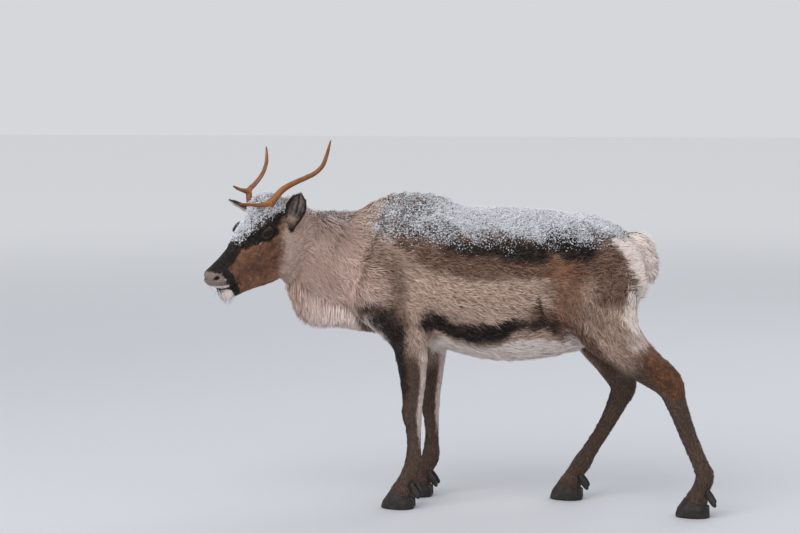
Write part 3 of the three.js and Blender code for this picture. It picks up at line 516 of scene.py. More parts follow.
        # painted shade along both edges of the tail, where it meets the rump
        edge = bell((np.abs(q[:, 1]) - 40) / 7) * smooth(610, 630, q[:, 0]) * smooth(680, 740, q[:, 2])
        dark = np.maximum(dark, 0.5 * cleft_shade)
        dark = np.maximum(dark, 0.55 * edge * (1 - smooth(820, 850, q[:, 2])))
        back = back * (0.58 + 0.36 * smooth(-40, 140, q[:, 0]) + 0.22 * ripple(p, 0.028, 21))
        dark = np.maximum(dark, 0.62 * smooth(0.1, 0.5, back))
        mantle = 0.36 * smooth(0.45, 0.95, normal[:, 2]) * neck
        line = np.interp(f, [30, 60, 92, 150, 180, 215, 232], [60, 68, 62, 62, 50, 38, 60])
        crown = smooth(-9, 16, u - line + 5 * drift) * on_head * (1 - smooth(206, 236, f)) * (np.abs(l) < 62) * \
            (0.72 + 0.3 * ripple(p, 0.016, 22))
        dark = np.maximum(dark, 0.75 * smooth(0.05, 0.5, crown))
        snow = np.clip(np.maximum.reduce([back, crown, mantle]), 0, 1) * SNOW_ON_COAT
        return {"dark": dark, "brown": brown, "pale": pale, "rust": rust, "grey": grey, "streak": streak,
                "neck": np.maximum(neck, on_head * rear), "leg": leg, "face": on_head, "snow": snow}

    @staticmethod
    def most(strokes: tuple[Stroke, ...], at: Array) -> Array:
        """The greatest share of several strokes."""
        return np.max([s(at) for s in strokes], axis=0)


# --------------------------------------------------------------------------------------------- surfaces
@dataclass
class Patch:
    """A lofted grid of the skin: points and normals (rings by segments), its lie of the coat, its place on the
    unwrap (left, low, wide, high) and marks of its own, which go before the body's."""

    points: Array
    normals: Array
    lie: Array
    place: tuple[float, float, float, float]
    extra: dict[str, Array] = field(default_factory=dict)

    def uv(self) -> Array:
        """Unwrap of the grid, closed round by one more column: rings upwards and segments across."""
        rings, segments = self.points.shape[:2]
        u = np.linspace(0, 1, segments + 1) * self.place[2] + self.place[0]
        v = np.linspace(0, 1, rings) * self.place[3] + self.place[1]
        return np.stack(np.meshgrid(u, v), -1)

    def inward(self) -> bool:
        """Whether the grid's own order of corners faces inwards."""
        p = self.points
        n = np.cross(np.roll(p, -1, 1)[:-1] - p[:-1], p[1:] - p[:-1])
        return float((n * self.normals[:-1]).sum()) < 0

    def shell(self) -> tuple[Array, Array, Array, Array]:
        """The grid closed by a fan round a pole at either end, faces out.

        Returns:
            Points with the two poles last, the faces' corners in a row, corners a face and (u, v) a corner.
        """
        rings, segments = self.points.shape[:2]
        uv = self.uv()
        k = np.arange(segments)
        n = (k + 1) % segments
        last, pole = (rings - 1) * segments, rings * segments
        fan = lambda row, b, c: np.stack([np.repeat(uv[row].mean(0)[None], segments, 0), uv[row, b], uv[row, c]], 1)
        parts = [grid_faces(rings, segments, uv),
                 (np.stack([np.full(segments, pole), n, k], 1), fan(0, k + 1, k)),
                 (np.stack([np.full(segments, pole + 1), last + k, last + n], 1), fan(-1, k, k + 1))]
        if self.inward():
            parts = [(faces[:, ::-1], corner[:, ::-1]) for faces, corner in parts]
        return (np.concatenate([self.points.reshape(-1, 3), self.points[[0, -1]].mean(1)]),
                np.concatenate([faces.ravel() for faces, _ in parts]),
                np.concatenate([np.full(len(faces), faces.shape[1]) for faces, _ in parts]),
                np.concatenate([corner.reshape(-1, 2) for _, corner in parts]))


def grid_faces(rows: int, columns: int, uv: Array) -> tuple[Array, Array]:
    """Quads of a grid that closes round its columns, and round its rows where the unwrap has a row more.

    Args:
        rows, columns: the grid's points.
        uv: the unwrap's grid, a column more than the points.
    Returns:
        The four corners of each quad, and their (u, v).
    """
    i, k = (g.ravel() for g in np.meshgrid(np.arange(len(uv) - 1), np.arange(columns), indexing="ij"))
    j, n = (i + 1) % rows, (k + 1) % columns
    quads = np.stack([i * columns + k, i * columns + n, j * columns + n, j * columns + k], 1)
    return quads, np.stack([uv[i, k], uv[i, k + 1], uv[i + 1, k + 1], uv[i + 1, k]], 1)


def grid_normals(points: Array) -> Array:
    """Unit normals of a closed-round grid, from the cross product of its two central differences."""
    ring = np.roll(points, -1, 1) - np.roll(points, 1, 1)
    run = np.gradient(points, axis=0)
    n = unit(np.cross(ring, run))
    centre = points.mean(1, keepdims=True)
    flip = np.sign(((points - centre) * n).sum(-1).mean())
    return n * flip


@dataclass
class Rings:
    """Rings across the body: centre, side and other axis of each, with how far its rays look."""

    at: Array
    u: Array
    v: Array
    reach: Array

    @classmethod
    def through(cls, keys: list[tuple[Array, Array, Array, float]], counts: list[int]) -> "Rings":
        """Rings on a smooth curve through keys (centre, way it faces, side, reach), with a count a stretch."""
        centres, facing, side, reach = (np.array([np.atleast_1d(v) for v in column]) for column in zip(*keys))
        shares = np.concatenate([i + np.arange(c) / c for i, c in enumerate(counts)] + [[len(counts)]])
        k = np.minimum(shares.astype(int), len(keys) - 2)
        f = (shares - k)[:, None]
        between = lambda values: values[k] * (1 - f) + values[k + 1] * f
        return cls(along_curve(centres, shares / (len(keys) - 1)), *cls.frame(unit(between(facing)), between(side)),
                   between(reach)[:, 0])

    @staticmethod
    def frame(facing: Array, side: Array) -> tuple[Array, Array]:
        """Two unit axes across each facing way, the first towards its side."""
        u = unit(side - (side * facing).sum(-1, keepdims=True) * facing)
        return u, np.cross(facing, u)

    def then(self, other: "Rings") -> "Rings":
        """These rings followed by others."""
        return Rings(*(np.concatenate([a, b]) for a, b in zip(
            (self.at, self.u, self.v, self.reach), (other.at, other.u, other.v, other.reach))))


def loft(form: Form, rings: Rings, segments: int, level: Array, turn: float = 90.0) -> Array:
    """Points where the rays of each ring end on a form.

    A coarse grid is walked first, and its distances, spread linearly, are the guesses of the fine one.

    Args:
        form: the body's form.
        rings: the rings.
        segments: rays a ring.
        level: the wanted value on each ring.
        turn: angle of the first ray in degrees, 90 for the underside.
    Returns:
        Points, rings by segments by 3.
    """
    count = len(rings.at)

    def rays(rows: Array, columns: Array, guess: Array | None) -> tuple[Array, Array, Array]:
        """Distances of some rings' rays, rows by columns, with the rays' starts and ways."""
        angle = 2 * math.pi * columns / segments + math.radians(turn)
        way = round_at(angle, rings.u[rows], rings.v[rows])
        start = np.repeat(rings.at[rows], len(columns), 0)
        spread = lambda a: np.repeat(a[rows], len(columns))
        flat = way.reshape(-1, 3)
        r = form.crossing(start, flat, spread(rings.reach), spread(level), guess)
        return r.reshape(len(rows), len(columns)), start, flat

    rows = np.unique(np.append(np.arange(0, count, 3), count - 1))
    columns = np.arange(0, segments, 4)
    coarse, _, _ = rays(rows, columns, None)
    wrapped = np.column_stack([coarse, coarse[:, :1]])
    x = np.arange(segments)
    across = np.array([np.interp(x, np.append(columns, segments), line) for line in wrapped])
    guess = np.array([np.interp(np.arange(count), rows, line) for line in across.T]).T
    r, start, way = rays(np.arange(count), x, guess.ravel())
    return (start + way * r.ravel()[:, None]).reshape(count, segments, 3)


def mesh_from(name: str, points: Array, faces: Array, sizes: Array) -> bpy.types.Object:
    """A mesh object in the scene.

    Args:
        name: the object's name.
        points: n by 3.
        faces: the corners of all faces in a row.
        sizes: how many corners each face has.
    Returns:
        The object, smooth shaded.
    """
    mesh = bpy.data.meshes.new(name)
    mesh.vertices.add(len(points))
    mesh.vertices.foreach_set("co", np.ascontiguousarray(points, np.float32).ravel())
    mesh.loops.add(len(faces))
    mesh.loops.foreach_set("vertex_index", faces.astype(np.int32))
    mesh.polygons.add(len(sizes))
    mesh.polygons.foreach_set("loop_start", np.concatenate([[0], np.cumsum(sizes)[:-1]]).astype(np.int32))
    mesh.polygons.foreach_set("use_smooth", np.ones(len(sizes), bool))
    mesh.update(calc_edges=True)
    piece = bpy.data.objects.new(name, mesh)
    bpy.context.scene.collection.objects.link(piece)
    return piece


def set_uv(piece: bpy.types.Object, uv: Array) -> None:
    """Writes one (u, v) a corner into the map OFBake."""
    layer = piece.data.uv_layers.new(name="OFBake")
    layer.data.foreach_set("uv", np.ascontiguousarray(uv, np.float32).ravel())


def set_values(piece: bpy.types.Object, values: dict[str, Array]) -> None:
    """Writes one number a vertex for each name."""
    for name, value in values.items():
        layer = piece.data.attributes.new(name, "FLOAT", "POINT")
        layer.data.foreach_set("value", np.ascontiguousarray(value, np.float32))


# --------------------------------------------------------------------------------------------- the skin
@dataclass(frozen=True)
class EarShape:
    """Length of an ear in mm, with its base and the way it points in (forward, outwards, up) of the head."""

    long: float
    base: tuple[float, float, float]
    way: tuple[float, float, float]


EARS = {Side.LEFT: EarShape(108, (33, 64, 20), (-34, 62, 96)), Side.RIGHT: EarShape(116, (33, 64, 38), (46, 92, 72))}


@dataclass
class Skin:
    """The animal's whole skin, a coat's depth inside the solids: trunk with neck and head, legs, ears and tail.

    Depths are in mm: trunk, head and legs. Folds are lines in the plane of length and height, each with the
    width of its bell and its depth.
    """

    trunk_depth: float = 12.0
    head_depth: float = 3.0
    leg_depth: float = 5.0
    segments: int = 160
    folds: tuple[tuple[tuple[tuple[float, float], ...], float, float], ...] = (
        (((-158, 880), (-200, 800), (-236, 700), (-238, 640), (-215, 590)), 10, 9),
        (((346, 700), (350, 640), (352, 585)), 11, 5),
        (((-60, 640), (-52, 570)), 7, 14),
    )
    patches: dict[str, Patch] = field(default_factory=dict)

    def body_rings(self) -> tuple[Rings, Array]:
        """Rings from the rump's pole to the nose's, and the level on each."""
        back, side = np.array([-1.0, 0, 0]), np.array([0, 1.0, 0])
        nose_side, forward = -HEAD.axes[1], HEAD.axes[0]
        neck_way = unit(np.array([-0.965, -0.08, 0.25]))
        head_way = unit(np.array([-0.68, -0.72, 0.12]))
        half = unit(neck_way * 0.55 + head_way * 0.45)
        mm = lambda *p: np.array(p, float) * MM
        at = lambda f, u: HEAD.point((f, 0, u))
        keys = [(mm(640, 0, 765), back, side, 0.35), (mm(520, 0, 745), back, side, 0.35),
                (mm(340, 0, 712), back, side, 0.35), (mm(120, 0, 715), back, side, 0.35),
                (mm(-80, 0, 742), unit(np.array([-1, 0, 0.05])), side, 0.35), (mm(-188, -6, 748), neck_way, side, 0.35),
                (mm(-305, -40, 776), half, side * 0.55 + nose_side * 0.45, 0.28),
                (at(-30, 0), head_way, nose_side, 0.26), (at(82, -14), forward, nose_side, 0.2),
                (at(150, -20), forward, nose_side, 0.16), (at(220, -32), forward, nose_side, 0.13),
                (at(290, -44), forward, nose_side, 0.11)]
        middle = Rings.through(keys, [12, 18, 22, 20, 14, 16, 18, 46, 34, 30, 24])
        rump = self.cap_rings(mm(600, 0, 775), -back, keys[0], 14, self.trunk_depth)
        nose = self.cap_rings(at(290, -26), forward, keys[-1], 20, 2.0)
        flipped = Rings(*(a[::-1] for a in (nose.at, nose.u, nose.v, nose.reach)))
        rings = rump.then(middle).then(flipped)
        ahead = HEAD.local(rings.at)[:, 0]
        depth = self.trunk_depth + (self.head_depth - self.trunk_depth) * smooth(-60, 90, ahead)
        depth = depth - 1.2 * smooth(200, 280, ahead)
        return rings, -depth * MM

    @staticmethod
    def cap_rings(start: Array, way: Array, key: tuple, count: int, depth: float) -> Rings:
        """Rings that close an end, squeezed to its tip as the square of their number, the tip first."""
        reach = BODY_FORM.crossing(start[None], way[None], np.array([0.25]), np.array([-depth * MM]))[0]
        tip = start + way * (reach - 0.0002)
        shares = ((np.arange(count) + 0.35) / count) ** 2
        at = tip + (key[0] - tip) * shares[:, None]
        facing = np.repeat(unit(key[1])[None], count, 0)
        side = np.repeat(np.asarray(key[2], float)[None], count, 0)
        return Rings(at, *Rings.frame(facing, side), np.full(count, key[3]))

    def body(self) -> Patch:
        """Trunk, neck and head in one."""
        rings, level = self.body_rings()
        points = loft(BODY_FORM, rings, self.segments, level)
        points = self.folded(self.shaped_head(points))
        lie = -np.gradient(points, axis=0)
        return Patch(points, grid_normals(points), unit(lie), (0.0, 0.0, 1.0, 0.6))

    def folded(self, points: Array) -> Array:
        """Presses in the folds of the flanks and the cleft between the seats.

        Points move in along the normal by a depth times the bell of their distance to the fold's line.
        """
        flat, normal = points.reshape(-1, 3), grid_normals(points).reshape(-1, 3)
        on_trunk = (1 - smooth(-60, -20, HEAD.local(flat)[:, 0])) * (np.abs(normal[:, 1]) > 0.4)
        for line, wide, deep in self.folds:
            away = 1 - Stroke(line, 0.0, 4.0 * wide)(flat[:, [0, 2]] / MM)
            flat = flat - normal * (on_trunk * deep * MM * bell(away / 0.3))[:, None]
        x, y, z = flat.T / MM
        cleft = bell(y / 17) * smooth(0.3, 0.7, normal[:, 0]) * smooth(590, 630, x) * smooth(540, 600, z)
        flat = flat - normal * (24 * MM * cleft)[:, None]
        return flat.reshape(points.shape)

    @staticmethod
    def shaped_head(points: Array) -> Array:
        """Presses the sockets, the nostrils, the mouth and the cheek's hollow into the head, and raises their rims.

        Each is a soft dent or swelling: points move along a way, (forward, outwards, up) or the eye's own way out,
        by a depth in mm times a share that falls off like a bell from its middle.
        """
        flat = points.reshape(-1, 3)
        q = HEAD.local(flat)
        f, l, u = q.T
        moved = np.zeros_like(q)
        line = np.interp(f, [225, 262, 304, 331, 345], [-66, -71, -67, -56, -50])
        for side in Side:
            axes = eye_axes(side) @ HEAD.axes.T
            along, _, up = ((q - side.mirror(HEAD.eye)) @ axes.T).T
            out = l * side.value
            nostril = ((f - 326) / 14) ** 2 + ((out - 27) / 10) ** 2 + ((u + 15) / 8.5) ** 2
            wing = (np.hypot((f - 322) / 19, (u + 14) / 13) - 1) / 0.28
            ridge = bell((u + 30 + 0.28 * (f - 110)) / 9) * smooth(95, 125, f) * (1 - smooth(180, 215, f))
            for share, way, depth in (
                    # the eye's socket, the lid's rim and the gland before it
                    (np.exp(-((along / 19) ** 4 + (up / 12) ** 4)) * (out > 20), axes[1], -15),
                    (bell((np.hypot(along / 25, up / 17) - 1) / 0.2) * (out > 20), axes[1], 2.2),
                    (bell((along - 34) / 9, (up + 7) / 5) * (out > 20), axes[1], -4),
                    # the nostril and its wing
                    (bell(nostril), side.mirror((0.75, 0.62, 0.1)), -13),
                    (bell(wing) * smooth(12, 24, out), side.mirror((0.2, 0.9, 0.1)), 2.0),
                    # the mouth's line and the lips
                    (bell((u - line) / 3.4) * smooth(236, 262, f) * smooth(2, 14, out),
                     side.mirror((0.3, 0.9, 0)), -4.2),
                    (bell((np.abs(u - line) - 8) / 5) * smooth(250, 280, f) * smooth(4, 16, out),
                     side.mirror((0.2, 0.9, 0)), 1.6),
                    # the cheek's hollow and the ridge of its bone
                    (bell((f - 190) / 46, (u + 42) / 20) * smooth(10, 30, out), side.mirror((0, 1, 0)), -4),
                    (ridge * smooth(10, 30, out), side.mirror((0, 1, 0)), 2.6)):
                moved += share[:, None] * way * depth
        for share, depth in (
                # between the lips in front, and the groove of the upper lip
                (bell((u + 53) / 3.2) * smooth(318, 330, f) * (np.abs(l) < 26), -4),
                (bell(l / 3) * smooth(322, 334, f) * smooth(-52, -44, u) * (1 - smooth(-26, -16, u)), -2.2)):
            moved += share[:, None] * np.array([1.0, 0, 0]) * depth
        return (flat + moved @ HEAD.axes * MM).reshape(points.shape)

    def leg(self, name: str, place: tuple[float, float, float, float]) -> Patch:
        """One leg, from inside the trunk to the top of its hoof."""
        rows = np.array(LEGS[name], float) * MM
        t = np.linspace(0.02, 1, 104)
        curve = along_curve(rows, t)
        ahead, behind = (along_curve(rows, np.clip(t + step, 0, 1))[:, :3] for step in (0.06, -0.06))
        facing = unit(ahead - behind)
        slant = np.clip((t - 0.9) / 0.1, 0, 1)[:, None]
        facing = unit(facing * (1 - slant) + np.array([-0.3, 0, -0.954]) * slant)
        across = np.repeat(np.array([[0, 1.0, 0]]), len(t), 0)
        rings = Rings(curve[:, :3], *Rings.frame(facing, across), 1.35 * curve[:, 3:5].max(1))
        depth = self.leg_depth + (self.trunk_depth - self.leg_depth) * (1 - smooth(0.08, 0.36, t))
        depth = depth - 2.0 * smooth(0.75, 0.95, t)
        form = Form(trunk_shapes() + [(Limb(LEGS[name]), 45)])
        points = loft(form, rings, 40, -depth * MM, 0.0)
        points = self.sinews(points, t, rings)
        return Patch(points, grid_normals(points), unit(np.gradient(points, axis=0)), place)

    @staticmethod
    def sinews(points: Array, t: Array, rings: Rings) -> Array:
        """The cannon's hollow sides between bone and tendon.

        Radii shrink by 0.16 times the squared cosine of their angle off the side, over the cannon's share t.
        """
        out = points - rings.at[:, None]
        radius = np.linalg.norm(out, axis=2, keepdims=True)
        way = out / np.maximum(radius, 1e-9)
        cosine = np.abs((way * rings.u[:, None]).sum(2))
        cannon = (smooth(0.55, 0.64, t) * (1 - smooth(0.8, 0.86, t)))[:, None]
        factor = 1 - 0.16 * cannon * cosine**2
        return rings.at[:, None] + out * factor[..., None]

    @staticmethod
    def ear(which: Side, place: tuple[float, float, float, float]) -> Patch:
        """A cupped ear: rings of a crescent whose front wall is pressed back into the cup.

        A ring's point at angle a lies cos(a) of the half width across and sin(a) of the thickness back; on the
        front half the thickness is turned from bulging to hollow between the base and a third of the length.
        """
        side, shape = which.value, EARS[which]
        way = unit(which.mirror(shape.way) @ HEAD.axes)
        opening = HEAD.axes[0] + 0.55 * side * HEAD.axes[1] - 0.1 * HEAD.axes[2]
        opening = unit(opening - (opening @ way) * way)
        across = np.cross(way, opening)
        t = np.concatenate([np.linspace(-0.22, 0.9, 40), 0.9 + 0.1 * np.sin(np.linspace(0.12, 1.55, 9))])
        wide = np.interp(t, np.linspace(0, 1, 7), [17, 23, 28, 31, 29, 22, 2]) * MM
        thick = np.interp(t, np.linspace(0, 1, 7), [14, 15, 14, 12, 9, 6, 2]) * MM
        cup = -1 + 1.78 * smooth(0.06, 0.3, t) * (1 - 0.25 * smooth(0.8, 1, t))
        a = 2 * math.pi * np.arange(44) / 44
        sine = np.sin(a)[None]
        forth = np.where(sine > 0, -cup[:, None] * sine, sine) * thick[:, None]
        base = HEAD.point(which.mirror(shape.base))
        centre = base + way * (t * (shape.long * MM))[:, None] - opening * (0.010 * t**2)[:, None]
        points = centre[:, None] + across * (np.cos(a)[None] * wide[:, None])[..., None] + opening * forth[..., None]
        inside = np.repeat((sine > 0.05).astype(float), len(t), 0) * smooth(0.1, 0.24, t)[:, None]
        rim = np.repeat(smooth(0.66, 0.92, np.abs(np.cos(a)))[None], len(t), 0)
        soft = ripple(points.reshape(-1, 3), 0.04, 31).reshape(inside.shape)
        stripe = 0.45 * np.sin(13 * a[None] + 1.5 * t[:, None]) + 0.3 * soft
        low_rim = rim * (np.cos(a)[None] * (across @ HEAD.axes[2]) < 0) * (side < 0)
        root = np.repeat(1 - smooth(-0.02, 0.14, t)[:, None], len(a), 1)
        middle = 1 - smooth(0.35, 0.75, np.abs(np.cos(a)))[None] * np.ones((len(t), 1))
        # painted shade: the inside of the cup is darkened as the hollow's shade, less across its middle, streaked by
        # the hair
        dark = np.maximum.reduce([inside * (0.62 + 0.35 * stripe) * (1 - 0.3 * middle), rim * (0.8 + 0.3 * stripe),
                                  (1 - inside) * 0.25, root * 0.6])
        # painted shade: a dark line down the middle of the cup where a fold would lie in shade; the ear's shape has no
        # fold
        off_fold = np.cos(a)[None] * side * np.sign(across @ HEAD.axes[0]) + 0.35 - 0.5 * t[:, None]
        fold = inside * bell(off_fold / 0.14) * smooth(0.2, 0.4, t)[:, None]
        marks = {name: np.zeros(inside.shape) for name in ("rust", "leg", "snow", "streak")}
        marks |= {"grey": inside, "hollow": inside, "face": np.ones(inside.shape), "brown": (1 - inside) * 0.7,
                  "neck": (1 - inside) * 0.35, "dark": np.maximum(dark, 0.9 * fold) * (1 - low_rim),
                  "pale": np.maximum(low_rim, inside * smooth(-0.1, 0.7, stripe) * 0.4)}
        return Patch(points, grid_normals(points), np.broadcast_to(way, points.shape), place, marks)

    @staticmethod
    def tail(place: tuple[float, float, float, float]) -> Patch:
        """The tail's core."""
        table = core(TAIL, (-7, 0, 4))
        rows = np.array(table, float) * MM
        t = 0.02 + 0.83 * np.sin(np.linspace(0, 1, 30) * math.pi / 2)
        curve = along_curve(rows, t)
        facing = unit(np.gradient(curve[:, :3], axis=0))
        rings = Rings(curve[:, :3], *Rings.frame(facing, np.repeat(np.array([[0, 1.0, 0]]), len(t), 0)),
                      1.3 * curve[:, 3:5].max(1))
        points = loft(Form([(Limb(table), 1)]), rings, 28, np.full(len(t), -MM), 0.0)
        return Patch(points, grid_normals(points), unit(np.gradient(points, axis=0)), place)

    def grow(self) -> None:
        """Works out every patch."""
        self.patches["body"] = self.body()
        for i, name in enumerate(LEGS):
            self.patches[name] = self.leg(name, (0.25 * i, 0.62, 0.24, 0.22))
        for i, side in enumerate(Side):
            self.patches["ear_" + side.word] = self.ear(side, (0.25 * i, 0.86, 0.24, 0.13))
        self.patches["tail"] = self.tail((0.5, 0.86, 0.24, 0.13))

    def mesh(self, markings: Markings, shift: Array) -> bpy.types.Object:
        """All patches as one object, each closed at either end, with the marks at every point."""
        patches = list(self.patches.values())
        points, faces, sizes, uvs = zip(*(patch.shell() for patch in patches))
        first = np.cumsum([0] + [len(p) for p in points])
        at = np.concatenate(points)
        piece = mesh_from("reindeer_skin", at + shift, np.concatenate([f + n for f, n in zip(faces, first)]),
                          np.concatenate(sizes))
        set_uv(piece, np.concatenate(uvs))
        normals = [n for p in patches for n in (p.normals.reshape(-1, 3), unit(p.normals[[0, -1]].mean(1)))]
        values = markings.masks(at, np.concatenate(normals))
        for patch, n in zip(patches, first):
            for key in values.keys() & patch.extra.keys():
                grid = patch.extra[key]
                values[key][n:n + grid.size + 2] = np.append(grid, grid[[0, -1], 0])
        set_values(piece, {**values, "tip": np.zeros(len(at)), "tone": np.full(len(at), 0.5)})
        return piece


# --------------------------------------------------------------------------------------------- the coat
Sizes = Array | float


@dataclass
class Roots:
    """Places where tufts grow: point, normal, lie, unwrap and the marks there."""

    at: Array
    normal: Array
    lie: Array
    uv: Array
    marks: dict[str, Array]

    def only(self, keep: Array) -> "Roots":
        """The roots that a mask keeps."""
        return Roots(self.at[keep], self.normal[keep], self.lie[keep], self.uv[keep],
                     {k: v[keep] for k, v in self.marks.items()})


@dataclass
class Coat:
    """Tufts of hair over the skin. Its seed, with how many patches were sown before, sets each random draw."""

    markings: Markings
    seed: int = 20
    made: int = 0

    def sow(self, patch: Patch, count: int, weight: Array) -> Roots:
        """Roots spread over a patch.

        A cell is drawn by its area times its weight, and the root lies in it at two even draws.

        Args:
            patch: the grid.
            count: how many.
            weight: wanted density, one a grid point.
        Returns:
            The roots, with the marks there and those of the patch's own.
        """
        draw = np.random.default_rng(self.seed + self.made)
        self.made += 1
        closed = lambda grid: np.concatenate([grid, grid[:, :1]], 1)
        weight = weight.reshape(patch.points.shape[:2])
        p, n, lie, w = (closed(grid) for grid in (patch.points, patch.normals, patch.lie, weight))
        area = np.linalg.norm(np.cross(p[1:, 1:] - p[:-1, :-1], p[1:, :-1] - p[:-1, 1:]), axis=2) / 2
        share = np.cumsum((area * (w[1:, 1:] + w[:-1, :-1]) / 2).ravel())
        cell = np.searchsorted(share, draw.uniform(0, share[-1], count))
        i, k = np.divmod(cell, area.shape[1])
        a, b = draw.uniform(size=(2, count, 1))
        along = lambda g, column: g[i, column] * (1 - a) + g[i + 1, column] * a
        blend = lambda g: along(g, k) * (1 - b) + along(g, k + 1) * b
        at, normal = blend(p), unit(blend(n))
        marks = self.markings.masks(at, normal)
        for key, grid in patch.extra.items():
            marks[key] = blend(closed(grid)[..., None])[:, 0]
        return Roots(at, normal, unit(blend(lie)), blend(patch.uv()), marks)

    def tufts(self, name: str, roots: Roots, length: Sizes, width: Sizes, rise: Sizes, shift: Array,
              bend: float = 0.35, stir: float = 0.25, rows: int = 3) -> list[bpy.types.Object]:
        """Flat tapered tufts, each a ribbon of two edges and a tip.

        A tuft leaves its root along the lie and rises as 1 - (1 - t)^2 of its rise, t the share of its length,
        bent aside by bend times t^2; its half width is w (1 - 0.35 t) up to the tip.

        Args:
            name: the stem of the pieces' names.
            roots: where they grow.
            length, width, rise: one a root or one for all, metres.
            shift: from the animal's frame to the model's.
            bend, stir: how far tufts curl aside and stray from the lie.
            rows: rings of two points before the tip.
        Returns:
            Pieces numbered from 1, each within the most triangles of one.
        """
        draw = np.random.default_rng(self.seed * 7 + self.made)
        count = len(roots.at)
        along = roots.lie - (roots.lie * roots.normal).sum(1, keepdims=True) * roots.normal
        along = unit(along + 1e-6)
        side = np.cross(roots.normal, along)
        clump = np.column_stack([ripple(roots.at, 0.024, 11), ripple(roots.at, 0.07, 12)])
        swing = stir * (0.55 * clump[:, :1] + 0.5 * clump[:, 1:] + 0.75 * draw.normal(size=(count, 1)))
        along = unit(along + side * swing)
        side = np.cross(roots.normal, along)
        roll = 0.34 * draw.normal(size=(count, 1))
        edge = unit(side + roots.normal * roll)
        length = (length * draw.uniform(0.7, 1.2, count))[:, None]
        rise = (rise * draw.uniform(0.55, 1.15, count) * (1 + 0.25 * clump[:, 0]))[:, None]
        width = (width * draw.uniform(0.7, 1.3, count))[:, None]
        curl = bend * length * (0.5 * draw.normal(size=(count, 1)) + 0.5 * clump[:, :1])
        t = np.linspace(0, 1, rows + 1)
        ring = [roots.at + along * length * s + side * curl * s * s
                + roots.normal * (rise * (1 - (1 - s) ** 2) - 0.001) for s in t]
        half = [width * 0.5 * (1 - 0.35 * s) for s in t]
        corner = [p for s in range(rows) for p in (ring[s] + edge * half[s], ring[s] - edge * half[s])] + [ring[-1]]
        points = np.stack(corner, 1)
        per = 2 * rows + 1
        quad = np.array([[2 * s, 2 * s + 1, 2 * s + 3, 2 * s + 2] for s in range(rows - 1)]).ravel()
        tail = np.array([2 * rows - 2, 2 * rows - 1, 2 * rows])
        face = np.concatenate([quad, tail])
        sizes = np.array([4] * (rows - 1) + [3])
        share = np.append(np.repeat(t[:-1], 2), 1.0)
        spot = np.stack([np.tile([-0.5, 0.5], rows + 1)[:per], share - 0.5], 1) * UNWRAP_SPECK
        tone = draw.uniform(0, 1, count)
        room = TRIANGLES_A_PIECE // (2 * rows - 1)
        pieces = []
        for number, first in enumerate(range(0, count, room)):
            some = slice(first, min(first + room, count))
            n = some.stop - some.start
            faces = (face[None] + per * np.arange(n)[:, None]).ravel()
            piece = mesh_from(f"{name}_{number + 1}", points[some].reshape(-1, 3) + shift, faces, np.tile(sizes, n))
            set_uv(piece, self.specks(roots.uv[some], spot[face]))
            marks = {k: np.repeat(v[some], per) for k, v in roots.marks.items()}
            set_values(piece, {**marks, "tip": np.tile(share, n), "tone": np.repeat(tone[some], per)})
            pieces.append(piece)
        LOG.info("%s: %d tufts in %d pieces", name, count, len(pieces))
        return pieces

    @staticmethod
    def specks(at: Array, spot: Array) -> Array:
        """The same small figure on the unwrap at every place, all of it clear of the edge."""
        return (np.clip(at, UNWRAP_EDGE, 1 - UNWRAP_EDGE)[:, None] + spot[None]).reshape(-1, 2)

    def grains(self, name: str, roots: Roots, height: Array, shift: Array) -> bpy.types.Object:
        """Grains of snow on the tips of the hair: small four-sided crystals turned at random.

        Args:
            name: the piece's name.
            roots: where they lie.
            height: one a root, out from the skin in metres.
            shift: from the animal's frame to the model's.
        """
        draw = np.random.default_rng(self.seed * 11 + self.made)
        n = len(roots.at)
        a = unit(draw.normal(size=(n, 3)))
        b = unit(np.cross(a, draw.normal(size=(n, 3))))
        turned = np.stack([a, b, np.cross(a, b)], 1)
        corner = np.array([[1, 1, 1], [-1, -1, 1], [-1, 1, -1], [1, -1, -1]]) * [0.6, 0.5, 0.7]
        size = draw.uniform(0.0010, 0.0032, (n, 1, 1))
        middle = roots.at + roots.normal * (height * draw.uniform(0.5, 1.15, n))[:, None]
        points = middle[:, None] + np.einsum("cj,njk->nck", corner, turned) * size
        face = np.array([[0, 2, 1], [0, 1, 3], [0, 3, 2], [1, 2, 3]])
        faces = (face.ravel()[None] + 4 * np.arange(n)[:, None]).ravel()
        piece = mesh_from(name, points.reshape(-1, 3) + shift, faces, np.full(4 * n, 3))
        spot = np.array([[0.5, 0], [0, 0.5], [-0.5, 0], [0, -0.5]]) * UNWRAP_SPECK
        set_uv(piece, self.specks(roots.uv, spot[face.ravel()]))
        return piece


# --------------------------------------------------------------------------------------------- shader arithmetic
Number = float | int


class Wire:
    """A socket of a finish's node tree that takes part in sums."""

    def __init__(self, sheet: "Sheet", socket: bpy.types.NodeSocket) -> None:
        """Keeps the tree and the socket."""
        self.sheet, self.socket = sheet, socket

    def math(self, operation: str, *others: "Wire | Number") -> "Wire":
        """A Math node of this wire and others."""
        return self.sheet.node("Math", {"operation": operation}, {i: v for i, v in enumerate((self, *others))})

    def __add__(self, other: "Wire | Number") -> "Wire":
        """Sum."""
        return self.math("ADD", other)

    __radd__ = __add__

    def __mul__(self, other: "Wire | Number") -> "Wire":
        """Product."""
        return self.math("MULTIPLY", other)

    __rmul__ = __mul__

    def __sub__(self, other: "Wire | Number") -> "Wire":
        """Difference."""
        return self.math("SUBTRACT", other)

    def __rsub__(self, other: Number) -> "Wire":
        """Number less this wire."""
        return self * -1.0 + other

    def step(self, low: float, high: float) -> "Wire":
        """Smooth step from 0 at low to 1 at high."""
        return self.sheet.node("MapRange", {"interpolation_type": "SMOOTHSTEP"}, {0: self, 1: low, 2: high})


Colour = tuple[float, float, float]


